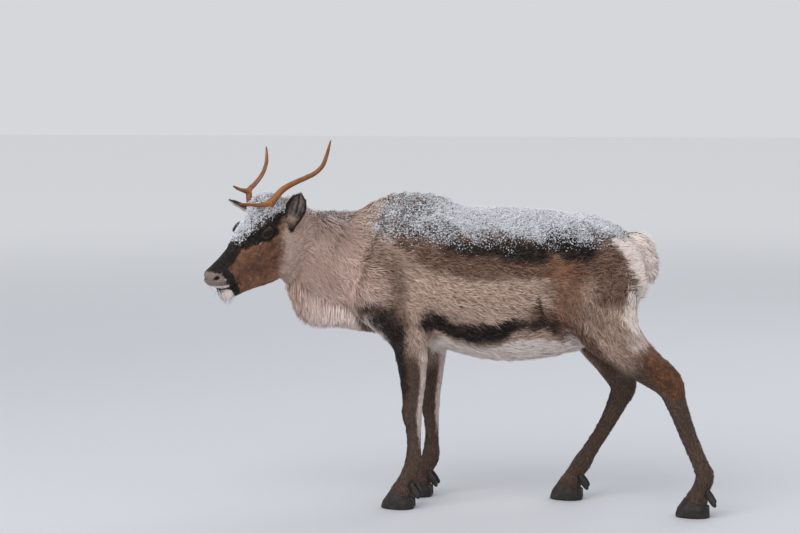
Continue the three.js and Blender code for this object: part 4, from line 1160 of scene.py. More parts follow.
class Sheet:
    """The node tree of one finish."""

    def __init__(self, name: str) -> None:
        """An empty tree with a shader and an output."""
        self.material = bpy.data.materials.new(name)
        self.material.use_nodes = True
        self.tree = self.material.node_tree
        self.tree.nodes.clear()
        self.shader = self.tree.nodes.new("ShaderNodeBsdfPrincipled")
        out = self.tree.nodes.new("ShaderNodeOutputMaterial")
        self.tree.links.new(self.shader.outputs[0], out.inputs[0])

    def put(self, socket: bpy.types.NodeSocket, value: object) -> None:
        """Sets a socket's number or colour, or links a wire to it."""
        if isinstance(value, Wire):
            self.tree.links.new(value.socket, socket)
        elif isinstance(value, tuple) and len(value) == 3 and socket.type == "RGBA":
            socket.default_value = (*value, 1.0)
        else:
            socket.default_value = value

    def node(self, kind: str, settings: dict[str, object], sockets: dict[int | str, object],
             output: int | str = 0) -> Wire:
        """Any node.

        Args:
            kind: its type without the leading ShaderNode.
            settings: its own properties, or stops for a ramp's (place, colour) pairs, set first.
            sockets: values or wires by the input's number or name.
            output: which output the wire takes.
        """
        made = self.tree.nodes.new("ShaderNode" + kind)
        for key, value in settings.items():
            if key == "stops":
                while len(made.color_ramp.elements) < len(value):
                    made.color_ramp.elements.new(1.0)
                for element, (place, colour) in zip(made.color_ramp.elements, value):
                    element.position, element.color = place, (*colour, 1.0)
            else:
                setattr(made, key, value)
        for key, value in sockets.items():
            self.put(made.inputs[key], value)
        return Wire(self, made.outputs[output])

    def value(self, name: str) -> Wire:
        """A number that the mesh carries."""
        return self.node("Attribute", {"attribute_name": name}, {}, "Fac")

    def place(self) -> Wire:
        """Object coordinates."""
        return self.node("TexCoord", {}, {}, "Object")

    def noise(self, scale: float, detail: float = 3.0, rough: float = 0.55, stretch: tuple | None = None) -> Wire:
        """Noise between 0 and 1 on the object's coordinates, stretched if need be."""
        at = self.place()
        if stretch:
            at = self.node("Mapping", {}, {"Vector": at, "Scale": stretch})
        return self.node("TexNoise", {}, {"Vector": at, "Scale": scale, "Detail": detail, "Roughness": rough})

    def mix(self, a: "Wire | Colour", b: "Wire | Colour", share: "Wire | Number", blend: str = "MIX") -> Wire:
        """A colour between two."""
        return self.node("Mix", {"data_type": "RGBA", "blend_type": blend}, {0: share, 6: a, 7: b}, 2)

    def bump(self, height: Wire, strength: float, distance: float) -> None:
        """Bump of the shader's normal."""
        normal = self.node("Bump", {}, {"Height": height, "Strength": strength, "Distance": distance})
        self.put(self.shader.inputs["Normal"], normal)

    def set(self, **values: object) -> None:
        """Puts values or wires on the shader's sockets, named with _ for a space."""
        for key, value in values.items():
            self.put(self.shader.inputs[key.replace("_", " ")], value)


@dataclass(frozen=True)
class CoatFinish:
    """Hair colours by marking, for the tufts and, with more painted shade and a bump, for the skin under them."""

    name: str
    under: bool = False
    flank: Colour = (0.36, 0.235, 0.175)
    flank_tip: Colour = (0.78, 0.575, 0.47)
    brown: Colour = (0.13, 0.064, 0.040)
    neck: Colour = (0.58, 0.395, 0.325)
    neck_light: Colour = (0.80, 0.60, 0.52)
    neck_streak: Colour = (0.20, 0.145, 0.125)
    leg: Colour = (0.105, 0.066, 0.050)
    rust: Colour = (0.095, 0.036, 0.016)
    rust_tip: Colour = (0.40, 0.155, 0.068)
    grey: Colour = (0.20, 0.155, 0.145)
    pale: Colour = (0.93, 0.82, 0.765)
    dark: Colour = (0.013, 0.009, 0.008)
    snow: Colour = (0.86, 0.87, 0.91)

    def build(self) -> bpy.types.Material:
        """Mixes the colours by the marks, with a tone a tuft, painted shade at the roots, streaks and snow on the tips.
        """
        s = Sheet(self.name)
        tone, tip = s.value("tone"), s.value("tip")
        fine, broad = s.noise(90.0, 2.0), s.noise(16.0, 3.0)
        vary = tip * 0.4 + tone * 0.8 + fine * 0.5 + broad * 0.3 - 0.52
        colour = s.mix(self.flank, self.flank_tip, vary.step(0.05, 1.0))
        brown = s.mix(self.brown, self.flank, vary.step(0.3, 1.1))
        stray = tone - 0.5
        rough = (fine - 0.5) * 1.6 + stray * 0.6 - 0.5
        mark = lambda name, wide: (s.value(name) * (1 + wide) + rough * wide).step(0.0, 1.0)
        colour = s.mix(colour, brown, mark("brown", 0.6))
        streak = s.value("streak") * (tone * 0.75 + fine * 0.6 + (1 - tip) * 0.2).step(0.55, 1.0) * 0.85
        neck = s.mix(self.neck, self.neck_light, (broad * 1.6 + tone * 0.7 - 0.9).step(0.0, 0.7))
        colour = s.mix(colour, s.mix(neck, self.neck_streak, streak), s.value("neck"))
        leg = s.mix(self.leg, self.flank, (broad * 0.5 + tone * 0.5).step(0.45, 1.0) * 0.55)
        colour = s.mix(colour, leg, mark("leg", 0.3))
        blotch = s.noise(34.0, 2.0) * 1.7 + tone * 0.6 + fine * 0.4 - 1.1
        rust = s.mix(self.rust, self.rust_tip, blotch.step(-0.15, 0.75) * 0.9)
        colour = s.mix(colour, rust, mark("rust", 0.2) * 0.85)
        colour = s.mix(colour, s.mix(self.grey, self.flank_tip, tone * 0.6), s.value("grey"))
        colour = s.mix(colour, self.pale, mark("pale", 0.3))
        dark = s.mix(self.dark, self.flank, (tone * 0.8 + fine * 1.2 - 0.95).step(0.0, 0.8) * 0.30)
        colour = s.mix(colour, dark, mark("dark", 0.6))
        # painted shade: every colour is darkened towards black at the tufts' roots, less on pale hair, and more on the
        # skin under the coat
        lit = tip * 0.4 + tone * 0.2 + s.value("pale") * 0.2 + (0.5 if self.under else 0.58)
        colour = s.mix((0.0, 0.0, 0.0), colour, lit)
        snow = s.value("snow")
        flakes = s.noise(330.0, 1.0) * 2.6 + s.noise(110.0, 2.0) * 1.5 + broad * 0.7 + tip * 0.3 - 2.55
        cover = (flakes + snow * 1.05 - 0.72).step(-0.06, 0.14)
        colour = s.mix(colour, self.snow, cover * snow.step(0.04, 0.16))
        s.set(Base_Color=colour, Roughness=0.85, Specular_IOR_Level=0.2, Sheen_Weight=0.1, Sheen_Roughness=0.5)
        if self.under:
            s.bump(s.noise(420.0, 2.0) + fine * 0.6, 0.6, 0.003)
        return s.material


@dataclass(frozen=True)
class AntlerFinish:
    """Antler bone: amber with darker flecks and a varying polish, with fine grain along it."""

    base: Colour = (0.19, 0.062, 0.012)
    light: Colour = (0.36, 0.135, 0.030)
    deep: Colour = (0.06, 0.02, 0.006)

    def build(self) -> bpy.types.Material:
        """Amber mixed by broad and fine noise."""
        s = Sheet("antler_bone")
        broad, grain = s.noise(26.0, 4.0), s.noise(160.0, 4.0, 0.7)
        colour = s.mix(self.base, self.light, (broad * 0.8 + grain * 0.4 - 0.3).step(0.15, 0.6))
        colour = s.mix(colour, self.deep, (grain + broad * 0.5).step(0.82, 1.05) * 0.7)
        s.set(Base_Color=colour, Roughness=grain * 0.25 + 0.34)
        s.bump(grain + broad * 0.4, 0.35, 0.0015)
        return s.material


@dataclass(frozen=True)
class HoofFinish:
    """Hoof horn: near black with growth rings level with the ground."""

    base: Colour = (0.022, 0.018, 0.016)
    worn: Colour = (0.12, 0.10, 0.085)

    def build(self) -> bpy.types.Material:
        """Rings from a wave in height, worn paler by noise."""
        s = Sheet("hoof_horn")
        rings = s.node("TexWave", {"bands_direction": "Z"}, {"Vector": s.place(), "Scale": 55.0, "Distortion": 2.2,
                                                            "Detail": 2.0})
        worn = s.noise(60.0, 4.0)
        s.set(Base_Color=s.mix(self.base, self.worn, (worn + rings * 0.15).step(0.45, 1.0) * 0.5),
              Roughness=worn * 0.3 + 0.42, Specular_IOR_Level=0.3)
        s.bump(rings * 0.3 + worn, 0.4, 0.001)
        return s.material


@dataclass(frozen=True)
class SnowFinish:
    """Grains of dry snow."""

    base: Colour = (0.90, 0.91, 0.94)
    shade: Colour = (0.80, 0.81, 0.85)

    def build(self) -> bpy.types.Material:
        """White with a cold tint."""
        s = Sheet("snow_grain")
        s.set(Base_Color=s.mix(self.base, self.shade, s.noise(300.0, 1.0)), Roughness=0.7)
        return s.material


@dataclass(frozen=True)
class FloorFinish:
    """A pale studio floor that fades into the sky far away."""

    near: Colour = (0.60, 0.615, 0.645)
    far: Colour = (0.93, 0.935, 0.94)

    def build(self) -> bpy.types.Material:
        """Paler with distance from the middle, from 3 m to 14 m."""
        s = Sheet("studio_floor")
        away = s.node("VectorMath", {"operation": "LENGTH"}, {0: s.place()}, "Value")
        s.set(Base_Color=s.mix(self.near, self.far, away.step(3.0, 14.0)), Roughness=0.95)
        return s.material


@dataclass(frozen=True)
class LidFinish:
    """Bare dark skin of the lids with fine wrinkles."""

    base: Colour = (0.034, 0.022, 0.017)
    worn: Colour = (0.13, 0.080, 0.058)

    def build(self) -> bpy.types.Material:
        """Dark skin, browner where fine noise is high."""
        s = Sheet("lid_skin")
        fine = s.noise(420.0, 3.0)
        browner = (fine * 0.6 + s.noise(60.0) * 0.6).step(0.5, 0.85)
        s.set(Base_Color=s.mix(self.base, self.worn, browner), Roughness=0.75, Specular_IOR_Level=0.2)
        s.bump(fine, 0.5, 0.001)
        return s.material


@dataclass(frozen=True)
class EyeFinish:
    """A dark brown wet eye."""

    iris: Colour = (0.012, 0.007, 0.005)
    deep: Colour = (0.004, 0.003, 0.003)

    def build(self) -> bpy.types.Material:
        """Nearly black with a clear coat."""
        s = Sheet("eye_wet")
        s.set(Base_Color=s.mix(self.iris, self.deep, s.noise(70.0, 2.0).step(0.4, 0.6)), Roughness=0.3,
              Specular_IOR_Level=0.1, Coat_Weight=0.3, Coat_Roughness=0.03)
        return s.material


# --------------------------------------------------------------------------------------------- hard parts
def tube_mesh(name: str, centre: Array, radius: Array, squash: float, rough: float, shift: Array) -> bpy.types.Object:
    """A closed tube: rings of radius times (side cos(a) + squash up sin(a)) round a path, roughened.

    Args:
        name: the piece's name.
        centre: ring centres, n by 3.
        radius: one a ring.
        squash: the rings' second half axis over their first.
        rough: share by which soft noise varies the radius.
        shift: from the animal's frame to the model's.
    Returns:
        The piece, faces out, with its own unwrap: round by along.
    """
    across, up = framed(centre)
    angle = 2 * math.pi * np.arange(28) / 28
    out = round_at(angle, across * radius[:, None], up * radius[:, None] * squash)
    points = (centre + shift)[:, None] + out
    noise = ripple(points.reshape(-1, 3) * [1, 1, 0.5], 0.014, 41).reshape(points.shape[:2] + (1,))
    return closed_grid(name, (centre + shift)[:, None] + out * (1 + rough * noise))


def closed_grid(name: str, points: Array) -> bpy.types.Object:
    """A closed piece of rings of points, faces out, with a fan at either end and an unwrap of round by along."""
    at, faces, sizes, uv = Patch(points, grid_normals(points), points, (0.01, 0.01, 0.98, 0.98)).shell()
    piece = mesh_from(name, at, faces, sizes)
    set_uv(piece, uv)
    return piece


def framed(centre: Array) -> tuple[Array, Array]:
    """Two unit axes across a path, turned as little as can be from ring to ring."""
    along = unit(np.gradient(centre, axis=0))
    side = unit(np.cross(along[0], [0.3, 0.5, 0.8]))
    sides = []
    for way in along:
        side = unit(side - (side @ way) * way)
        sides.append(side)
    return np.array(sides), np.cross(along, np.array(sides))


@dataclass(frozen=True)
class Antlers:
    """Two beams, each with a brow tine. Rows are (forward, outwards, up) in mm in the head's frame."""

    beams: tuple[tuple[Side, tuple[tuple[float, float, float], ...]], ...] = (
        (Side.LEFT, ((76, 34, 78), (62, 42, 103), (12, 54, 127), (-29, 68, 132), (-67, 82, 132), (-99, 95, 134),
                  (-125, 106, 145), (-143, 116, 167), (-157, 124, 190), (-172, 131, 214))),
        (Side.RIGHT, ((82, 34, 82), (73, 42, 114), (56, 50, 143), (26, 60, 147), (-8, 74, 149), (-46, 90, 156),
                   (-79, 104, 172), (-98, 114, 190), (-113, 121, 214))))
    tines: tuple[tuple[Side, tuple[tuple[float, float, float], ...]], ...] = (
        (Side.LEFT, ((64, 43, 106), (96, 38, 117), (127, 31, 133), (158, 24, 153))),
        (Side.RIGHT, ((60, 48, 142), (77, 49, 154), (93, 50, 168), (107, 50, 184))))
    beam_radii: tuple[float, ...] = (12, 11.4, 9.2, 8, 7.5, 7, 6.4, 5, 2.4)
    tine_radii: tuple[float, ...] = (9, 7.2, 6, 4.8, 2.2)

    def build(self, shift: Array) -> list[tuple[bpy.types.Object, str]]:
        """Pieces with the names of the solids that they stand for."""
        made = []
        for part, rows, radii, flare in (("beam", self.beams, self.beam_radii, 0.0),
                                         ("brow_tine", self.tines, self.tine_radii, 0.8)):
            for side, row in rows:
                keys = HEAD.point(side.mirror(row))
                t = np.sin(np.linspace(0, 1, 80) * math.pi / 2 * 0.999)
                radius = np.interp(t, np.linspace(0, 1, len(radii)), radii) * MM * (1 + flare * np.exp(-t / 0.13))
                radius = radius * np.sqrt(np.clip((1 - t) / 0.03, 0.02, 1))
                name = f"antler_{side.word}_{part}"
                made.append((tube_mesh("bone_" + name, along_curve(keys, t), radius, 0.92, 0.035, shift), name))
        return made


@dataclass(frozen=True)
class Hooves:
    """Four cloven hooves with their dewclaws, set on the tops that the legs end in; tables in mm.

    The outline is one claw's, layers are (height, size, shift back) and the dewclaw's rows (back, out, up, radius).
    The slope is that of the hoof's top, and insets are (share of the height, size) of the rings of the sole.
    """

    outline: tuple[tuple[float, float], ...] = (
        (-36, 9), (-20, 4), (4, 3), (30, 3), (48, 4), (60, 10), (61, 19), (50, 31), (30, 42), (4, 48), (-20, 44),
        (-37, 32), (-43, 19))
    middle: tuple[float, float] = (2, 24)
    slope: float = 0.314
    insets: tuple[tuple[float, float], ...] = ((0.08, 0.45), (0.02, 0.8), (0.0, 0.93), (0.02, 0.98))
    layers: tuple[tuple[float, float, float], ...] = ((0, 0.93, 0), (4, 1, 0), (24, 0.94, -2), (62, 0.66, -10))
    dewclaw: tuple[tuple[float, float, float, float], ...] = (
        (34, 22, 84, 5), (40, 25, 68, 9), (48, 28, 54, 10.5), (56, 30, 42, 8.5), (59, 31, 34, 4))

    def build(self, shift: Array) -> list[tuple[bpy.types.Object, str]]:
        """Pieces with the names of the solids that they stand for."""
        made = []
        for leg, rows in LEGS.items():
            top = rows[-1]
            for where, out in (("outer", np.sign(top[1])), ("inner", -np.sign(top[1]))):
                made.append((closed_grid(f"horn_{leg}_claw_{where}", self.claw(top, out) + shift),
                             f"{leg}_claw_{where}"))
                claw = np.array(self.dewclaw) * [1, out, 1, 1]
                keys = np.column_stack([top[0] + claw[:, 0], top[1] + claw[:, 1], claw[:, 2]]) * MM
                t = np.linspace(0, 1, 26)
                radius = np.interp(t, np.linspace(0, 1, 5), claw[:, 3]) * MM * np.sqrt(np.clip((1 - t) / 0.08, 0.05, 1))
                made.append((tube_mesh(f"horn_{leg}_dewclaw_{where}", along_curve(keys, t), radius, 0.85, 0.05, shift),
                             f"{leg}_dewclaw_{where}"))
        return made

    def claw(self, top: tuple[float, ...], out: float) -> Array:
        """Rings of one claw, from the sole up to the slanting top of the hoof.

        The outline is a closed smooth curve. A ring at share s lies at s of the height of the slant over each
        point, and its size and shift back follow the layers by that height. The sole is drawn in at its middle.
        """
        keys = np.array(self.outline + self.outline[:3], float)
        a = np.linspace(0, 1, 61)[:-1] * len(self.outline) / (len(keys) - 1) + 1 / (len(keys) - 1)
        ring = along_curve(keys, np.minimum(a, 1.0))
        height, size, back = np.array(self.layers).T
        rings = []
        for s, inset in (*self.insets, *((v, 1.0) for v in np.linspace(0.07, 1, 16))):
            h = np.full(len(ring), s * top[2])
            for _ in range(2):
                scale = np.interp(h, height, size) * inset
                ahead = self.middle[0] + (ring[:, 0] - self.middle[0]) * scale + np.interp(h, height, back)
                h = s * (top[2] + self.slope * ahead - 0.3)
            aside = np.maximum(1.2, self.middle[1] + (ring[:, 1] - self.middle[1]) * scale)
            rings.append(np.column_stack([top[0] - ahead, top[1] + out * aside, np.maximum(h, 0)]))
        return np.array(rings) * MM


@dataclass(frozen=True)
class Eyes:
    """Eyeballs and the lids round them; sizes in mm.

    Slit, upper and lower are the opening's half axes, and the lids reach out to the spread times them. They keep
    off a ball of the cover's radius by the clearance, and end sunk under the skin.
    """

    bulge: float = 0.9
    slit: float = 14.6
    upper: float = 11.6
    lower: float = 7.4
    spread: float = 1.9
    fold: float = 1.8
    cover: float = 18.0
    clearance: float = 1.6
    sunk: float = 1.4
    thick: float = 3.0
    inside: float = 30.0

    def balls(self, shift: Array) -> list[tuple[bpy.types.Object, str]]:
        """Two balls with a slight bulge at the front: the radius grows by a bell of the angle off the way out."""
        made = []
        polar = np.linspace(0.03, math.pi - 0.03, 40)[:, None]
        turn = 2 * math.pi * np.arange(56)[None] / 56
        radius = (HEAD.eye_radius + self.bulge * bell(polar / 0.55)) * MM
        for side in Side:
            axes = eye_axes(side)
            way = np.cos(polar)[..., None] * axes[1] + np.sin(polar)[..., None] * (
                np.cos(turn)[..., None] * axes[0] + np.sin(turn)[..., None] * axes[2])
            ball = HEAD.point(side.mirror(HEAD.eye)) + way * radius[..., None]
            made.append((closed_grid("eyeball_" + side.word, ball + shift), "eye_" + side.word))
        return made

    def lids(self, shift: Array) -> list[bpy.types.Object]:
        """Two rings of lid.

        Round the slit each lid runs from the ball's surface to the skin. Its height out is the ball's at the rim
        and the skin's at the far edge, blended by a smooth step, with a half sine of fold added. It is nowhere
        under the cover, beyond which that falls off steeply, and it comes back by its thickness under itself.
        """
        made = []
        a = 2 * math.pi * np.arange(64) / 64
        half = np.where(np.sin(a) > 0, self.upper, self.lower) * np.abs(np.sin(a)) ** 0.9 * np.sign(np.sin(a))
        flat = np.stack([self.slit * np.cos(a), half], 1)
        s = np.linspace(0, 1, 9)[:, None]
        rim = np.sqrt(np.maximum((HEAD.eye_radius + 0.5) ** 2 - (flat ** 2).sum(1), 0))
        blend = smooth(0, 1, s)
        fold = self.fold * np.sin(math.pi * s) * (1 + 0.5 * (np.sin(a) > 0))
        scale = 1 + (self.spread - 1) * s
        away = np.sqrt((flat ** 2).sum(1)) * scale
        ball = np.where(away < self.cover, np.sqrt(np.maximum(self.cover ** 2 - away ** 2, 0)), 3 * (self.cover - away))
        for side in Side:
            axes, centre = eye_axes(side), HEAD.point(side.mirror(HEAD.eye))
            far = centre + (flat[:, :1] * axes[0] + flat[:, 1:] * axes[2]) * self.spread * MM
            skin = BODY_FORM.crossing(far - axes[1] * (self.inside * MM), np.repeat(axes[1][None], len(a), 0),
                                      np.full(len(a), 0.07), np.full(len(a), -0.003)) / MM - self.inside
            out = rim * (1 - blend) + (skin - self.sunk) * blend + fold
            out = np.maximum(out, ball + self.clearance * np.sin(math.pi * s / 2))
            over = np.stack([flat[:, 0] * scale, flat[:, 1] * scale, out], -1)
            loop = np.concatenate([over, over[::-1] - np.array([0, 0, self.thick])])
            points = centre + (loop[..., :1] * axes[0] + loop[..., 1:2] * axes[2] + loop[..., 2:] * axes[1]) * MM
            made.append(self.ring("eyelids_" + side.word, points + shift))
        return made

    @staticmethod
    def ring(name: str, points: Array) -> bpy.types.Object:
        """A closed ring: loops of points closed both ways, faces out, with its own unwrap."""
        rows, columns = points.shape[:2]
        uv = np.stack(np.meshgrid(np.arange(columns + 1), np.arange(rows + 1)), -1) / [columns, rows]
        quads, corner = grid_faces(rows, columns, uv)
        flat = points.reshape(-1, 3)
        p = flat[quads]
        volume = (p.mean(1) * np.cross(p[:, 2] - p[:, 0], p[:, 3] - p[:, 1])).sum()
        if volume < 0:
            quads, corner = quads[:, ::-1], corner[:, ::-1]
        piece = mesh_from(name, flat, quads.ravel(), np.full(len(quads), 4))
        set_uv(piece, corner.reshape(-1, 2))
        return piece


# --------------------------------------------------------------------------------------------- studio
@dataclass
class Studio:
    """A pale floor, soft light and the camera at the photo's angle.

    Angles are in degrees and lengths in metres; a lamp is (name, place, size, watts) and faces the aim.
    """

    azimuth: float = 8.0
    elevation: float = 5.0
    distance: float = 7.0
    target: tuple[float, float, float] = (-0.0945, 0.0, 0.748)
    lens: float = 100.0
    sky: Colour = (0.90, 0.92, 0.955)
    sky_power: float = 0.74
    lamps: tuple[tuple[str, tuple[float, float, float], float, float], ...] = (
        ("key_light", (-2.2, -4.4, 5.6), 5.0, 250.0), ("rim_light", (2.4, 3.8, 4.6), 3.5, 70.0))
    aim: tuple[float, float, float] = (0, 0, 0.6)
    floor_half: float = 40.0

    def build(self, shift: Array) -> None:
        """Sky, one broad lamp before the animal and one behind, the floor and the camera."""
        world = bpy.data.worlds.new("studio_sky")
        world.use_nodes = True
        light = world.node_tree.nodes["Background"]
        light.inputs[0].default_value, light.inputs[1].default_value = (*self.sky, 1), self.sky_power
        bpy.context.scene.world = world
        bpy.context.scene.view_settings.view_transform = "Standard"
        for lamp in self.lamps:
            self.lamp(*lamp)
        r = self.floor_half
        floor = mesh_from("studio_floor", np.array([[-r, -r, 0], [r, -r, 0], [r, r, 0], [-r, r, 0]]),
                          np.arange(4), np.array([4]))
        floor.data.materials.append(FloorFinish().build())
        a, e = math.radians(self.azimuth), math.radians(self.elevation)
        back = np.array([math.sin(a) * math.cos(e), -math.cos(a) * math.cos(e), math.sin(e)])
        camera = bpy.data.cameras.new("photo_camera")
        camera.lens, camera.sensor_width, camera.clip_end = self.lens, 36.0, 200.0
        seen = bpy.data.objects.new("photo_camera", camera)
        seen.location = np.array(self.target) + shift + back * self.distance
        seen.rotation_euler = (math.pi / 2 - e, 0, a)
        bpy.context.scene.collection.objects.link(seen)
        bpy.context.scene.camera = seen

    def lamp(self, name: str, at: tuple[float, float, float], size: float, power: float) -> None:
        """A square lamp that faces the aim."""
        light = bpy.data.lights.new(name, "AREA")
        light.size, light.energy = size, power
        piece = bpy.data.objects.new(name, light)
        piece.location = at
        way = np.array(self.aim) - np.array(at)
        turn = math.atan2(way[1], way[0]) - math.pi / 2
        piece.rotation_euler = (math.pi / 2 + math.atan2(way[2], math.hypot(way[0], way[1])), 0, turn)
        bpy.context.scene.collection.objects.link(piece)


# --------------------------------------------------------------------------------------------- the whole animal
@dataclass
class Reindeer:
    """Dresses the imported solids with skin, coat, eyes, antlers and hooves.

    The numbers are tufts or grains: of the body, of the mane, of each leg and ear, of the tail, of the snow and of
    the whiskers.
    """

    body_tufts: int = 190000
    mane_tufts: int = 16000
    leg_tufts: int = 20000
    ear_tufts: int = 7000
    tail_tufts: int = 9000
    snow_grains: int = 34000
    whisker_hairs: int = 34
    markings: Markings = field(default_factory=Markings)

    def __post_init__(self) -> None:
        """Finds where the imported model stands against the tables."""
        low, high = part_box("eye_left")
        self.shift = (np.array(low) + np.array(high)) / 2 - HEAD.point(HEAD.eye)
        self.shift[2] = 0.0

    def dress(self) -> None:
        """Builds the skin, the coat and the hard parts, in that order."""
        skin = Skin()
        skin.grow()
        LOG.info("skin worked out")
        under = CoatFinish("skin_under_coat", under=True).build()
        hair = CoatFinish("coat_hair").build()
        piece = skin.mesh(self.markings, self.shift)
        self.add([piece], under, "coat_flank")
        flesh = ["torso", "neck", "head", "tail", "ear_left", "ear_right"]
        for leg in LEGS:
            upper = "forearm" if leg.startswith("fore") else "gaskin"
            flesh += [f"{leg}_{part}" for part in (upper, "cannon", "foot")]
        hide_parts(*flesh)
        self.coat(skin, hair)
        self.hard_parts()

    def coat(self, skin: Skin, hair: bpy.types.Material) -> None:
        """Tufts of every region, each with its own length, width and rise; the order sets the random draws."""
        coat = Coat(self.markings)
        body = skin.patches["body"]
        self.trunk_and_face(coat, body, hair)
        self.mane(coat, body, hair)
        self.snow(coat, body)
        self.whiskers(coat, body, hair)
        for name in LEGS:
            self.leg(coat, name, skin.patches[name], hair)
        for side in Side:
            self.ear(coat, "ear_" + side.word, skin.patches["ear_" + side.word], hair)
        self.tail(coat, skin.patches["tail"], hair)

    def trunk_and_face(self, coat: Coat, body: Patch, hair: bpy.types.Material) -> None:
        """Tufts of trunk, neck and head, closer where they are small."""
        length, width, _ = self.body_hair(body.points.reshape(-1, 3))
        roots = coat.sow(body, self.body_tufts, (1e-6 / (length * width)) ** 0.9)
        self.droop(roots)
        short = roots.marks["face"] > 0.5
        for name, some, rows, slot in (("body", roots.only(~short), 3, "coat_flank"),
                                       ("face", roots.only(short), 2, "coat_face")):
            sizes = self.body_hair(some.at)
            self.add(coat.tufts("coat_" + name, some, *sizes, self.shift, stir=0.2, rows=rows), hair, slot)

    def leg(self, coat: Coat, name: str, leg: Patch, hair: bpy.types.Material) -> None:
        """Tufts of one leg, denser and shorter downwards, where it stands out of the trunk."""
        low = np.repeat(np.linspace(0, 1, len(leg.points))[:, None], leg.points.shape[1], 1)
        roots = coat.sow(leg, self.leg_tufts, 0.5 + low)
        roots = roots.only(TRUNK_FORM(roots.at) > -0.015)
        fall = smooth(400, 640, roots.at[:, 2] / MM)
        sizes = (0.013 + 0.019 * fall, 0.0016 + 0.0006 * fall, 0.0032 + 0.005 * fall)
        self.add(coat.tufts("coat_" + name, roots, *sizes, self.shift, rows=2), hair, "coat_leg")

    def ear(self, coat: Coat, name: str, ear: Patch, hair: bpy.types.Material) -> None:
        """Tufts of one ear, finer in its hollow."""
        roots = coat.sow(ear, self.ear_tufts, np.ones(ear.points.shape[:2]))
        hollow = roots.marks.pop("hollow")
        sizes = (0.011 - 0.003 * hollow, 0.0012 - 0.0002 * hollow, 0.0024 - 0.0014 * hollow)
        self.add(coat.tufts("coat_" + name, roots, *sizes, self.shift, rows=2), hair, "coat_ear")

    def tail(self, coat: Coat, tail: Patch, hair: bpy.types.Material) -> None:
        """Tufts of the tail, pale with a dark line down its back, longer upwards."""
        roots = coat.sow(tail, self.tail_tufts, np.ones(tail.points.shape[:2]))
        fall = smooth(690, 800, roots.at[:, 2] / MM)
        ridge = bell(roots.at[:, 1] / 0.008) * (roots.normal[:, 0] > 0)
        roots.marks["pale"] = 0.85 - 0.7 * ridge
        roots.marks["dark"] = 0.6 * ridge
        sizes = (0.016 + 0.036 * fall, 0.0022, 0.008 + 0.012 * fall)
        self.add(coat.tufts("coat_tail", roots, *sizes, self.shift, rows=4), hair, "coat_rump")

    def whiskers(self, coat: Coat, body: Patch, hair: bpy.types.Material) -> None:
        """A few long dark hairs of the chin and the lips."""
        f, _, u = HEAD.local(body.points.reshape(-1, 3)).T
        weight = bell((f - 306) / 16, (u + 96) / 14) + 0.5 * bell((f - 326) / 10, (u + 44) / 8)
        roots = coat.sow(body, self.whisker_hairs, weight)
        roots.marks["dark"][:] = 1.0
        roots.marks["pale"][:] = 0.0
        roots.lie = unit(roots.normal + np.array([0.2, 0.0, -0.5]))
        self.add(coat.tufts("coat_whiskers", roots, 0.026, 0.0006, 0.008, self.shift, rows=4), hair, "coat_face")

    def snow(self, coat: Coat, body: Patch) -> None:
        """Grains of snow over the back and the crown, thick where the marking is strong."""
        weight = self.markings.masks(body.points.reshape(-1, 3), body.normals.reshape(-1, 3))["snow"] ** 1.4
        roots = coat.sow(body, int(self.snow_grains * SNOW_ON_COAT), weight)
        rise = self.body_hair(roots.at)[2]
        self.add([coat.grains("snow_grains", roots, rise, self.shift)], SnowFinish().build(), "coat_flank")

    def mane(self, coat: Coat, body: Patch, hair: bpy.types.Material) -> None:
        """Long locks of the throat, from the core down to the coat's own outline."""
        gap = COAT_FORM(body.points.reshape(-1, 3)).reshape(body.points.shape[:2])
        x, z = body.points[..., 0], body.points[..., 2]
        roots = coat.sow(body, self.mane_tufts, smooth(0.016, 0.034, -gap) * (x > -0.47) * (x < -0.08) * (z < 0.76))
        hang = unit(np.array([0.10, 0.0, -1.0]) + roots.normal * 0.28)
        count = len(roots.at)
        reach = COAT_FORM.crossing(roots.at + hang * 0.001, hang, np.full(count, 0.13), np.zeros(count))
        long = reach > 0.012
        roots, reach, hang = roots.only(long), reach[long], hang[long]
        out = unit(roots.normal - (roots.normal * hang).sum(1, keepdims=True) * hang + 1e-6)
        height = roots.at[:, 2] / MM
        behind = smooth(-225, -195, roots.at[:, 0] / MM)
        roots.marks["pale"] = (0.15 + 0.45 * (1 - smooth(620, 720, height))) * (1 - behind)
        roots.marks["brown"] = np.maximum(roots.marks["brown"], 0.8 * behind)
        roots.marks["neck"] = np.minimum(roots.marks["neck"], 1 - 0.8 * behind)
        roots.lie, roots.normal = hang, out
        tufts = coat.tufts("coat_mane", roots, reach * 1.04, 0.0027, 0.004, self.shift, bend=0.12, stir=0.07, rows=5)
        self.add(tufts, hair, "coat_neck")

    @staticmethod
    def droop(roots: Roots) -> None:
        """Turns the lie down: adds 0.28 of straight down on the flanks and 0.73 on the neck, none on the face."""
        side = 1 - np.abs(roots.normal[:, 2])
        neck = roots.marks["neck"] * (1 - roots.marks["face"])
        pull = (0.28 + 0.45 * neck) * side * (1 - roots.marks["face"])
        roots.lie = unit(roots.lie + np.array([0, 0, -1.0]) * pull[:, None])

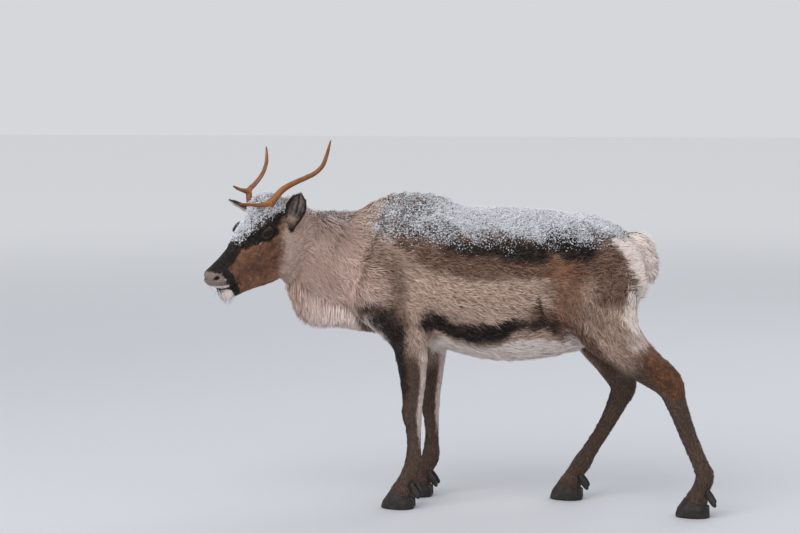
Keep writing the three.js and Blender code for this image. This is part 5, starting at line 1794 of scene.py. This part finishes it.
    @staticmethod
    def body_hair(p: Array) -> tuple[Array, Array, Array]:
        """Length, width and rise of tufts in metres, by place on trunk, neck and head.

        Trunk hair is 34 mm long, the neck's 48 and the rump's 44. On the head it goes by each region's share
        towards that region's goals, one after the other.
        """
        x = p[:, 0] / MM
        f, l, u = HEAD.local(p).T
        neck = 1 - smooth(-240, -150, x)
        rump = smooth(560, 630, x)
        sizes = [34 + 14 * neck + 10 * rump, 2.1 + 0.1 * neck, 9.0 + 1.5 * neck + 1.5 * rump]
        face = smooth(-40, 80, f) * (x < -250)
        burr = bell((f - 74) / 20, (np.abs(l) - 36) / 18) * smooth(40, 70, u) * face
        muzzle = smooth(140, 290, f) * face
        crown = smooth(50, 85, u) * (1 - smooth(90, 150, f)) * smooth(0, 30, f) * face
        from_eye = np.stack([f - HEAD.eye[0], np.abs(l) - HEAD.eye[1], u - HEAD.eye[2]])
        eye = np.exp(-(np.linalg.norm(from_eye, axis=0) / 27) ** 4)
        for share, goals in ((face, (13, 1.3, 3.0)), (muzzle, (5.0, 0.9, 1.1)), (crown, (24, 1.7, 8.0)),
                             (eye, (4.5, 0.8, 0.8)), (burr, (26, None, 15))):
            sizes = [a if b is None else a + (b - a) * share for a, b in zip(sizes, goals)]
        return tuple(a * MM for a in sizes)

    @staticmethod
    def add(pieces: list[bpy.types.Object], finish: bpy.types.Material, slot: str) -> None:
        """Gives pieces their finish and their body."""
        for piece in pieces:
            piece.data.materials.append(finish)
            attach(piece, "root")

    def hard_parts(self) -> None:
        """Antlers, hooves, eyeballs and lids, each in place of its solid."""
        eyes = Eyes()
        groups = ((Antlers().build(self.shift), AntlerFinish().build(), "antler"),
                  (Hooves().build(self.shift), HoofFinish().build(), "hoof"),
                  (eyes.balls(self.shift), EyeFinish().build(), "eye"))
        for pieces, finish, slot in groups:
            for piece, solid in pieces:
                self.add([piece], finish, slot)
                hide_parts(solid)
        self.add(eyes.lids(self.shift), LidFinish().build(), "coat_face")


def main() -> None:
    """Builds the studio and the animal."""
    logging.basicConfig(level=logging.INFO, format="%(name)s %(message)s")
    animal = Reindeer()
    Studio().build(animal.shift)
    animal.dress()


if __name__ == "__main__":
    main()
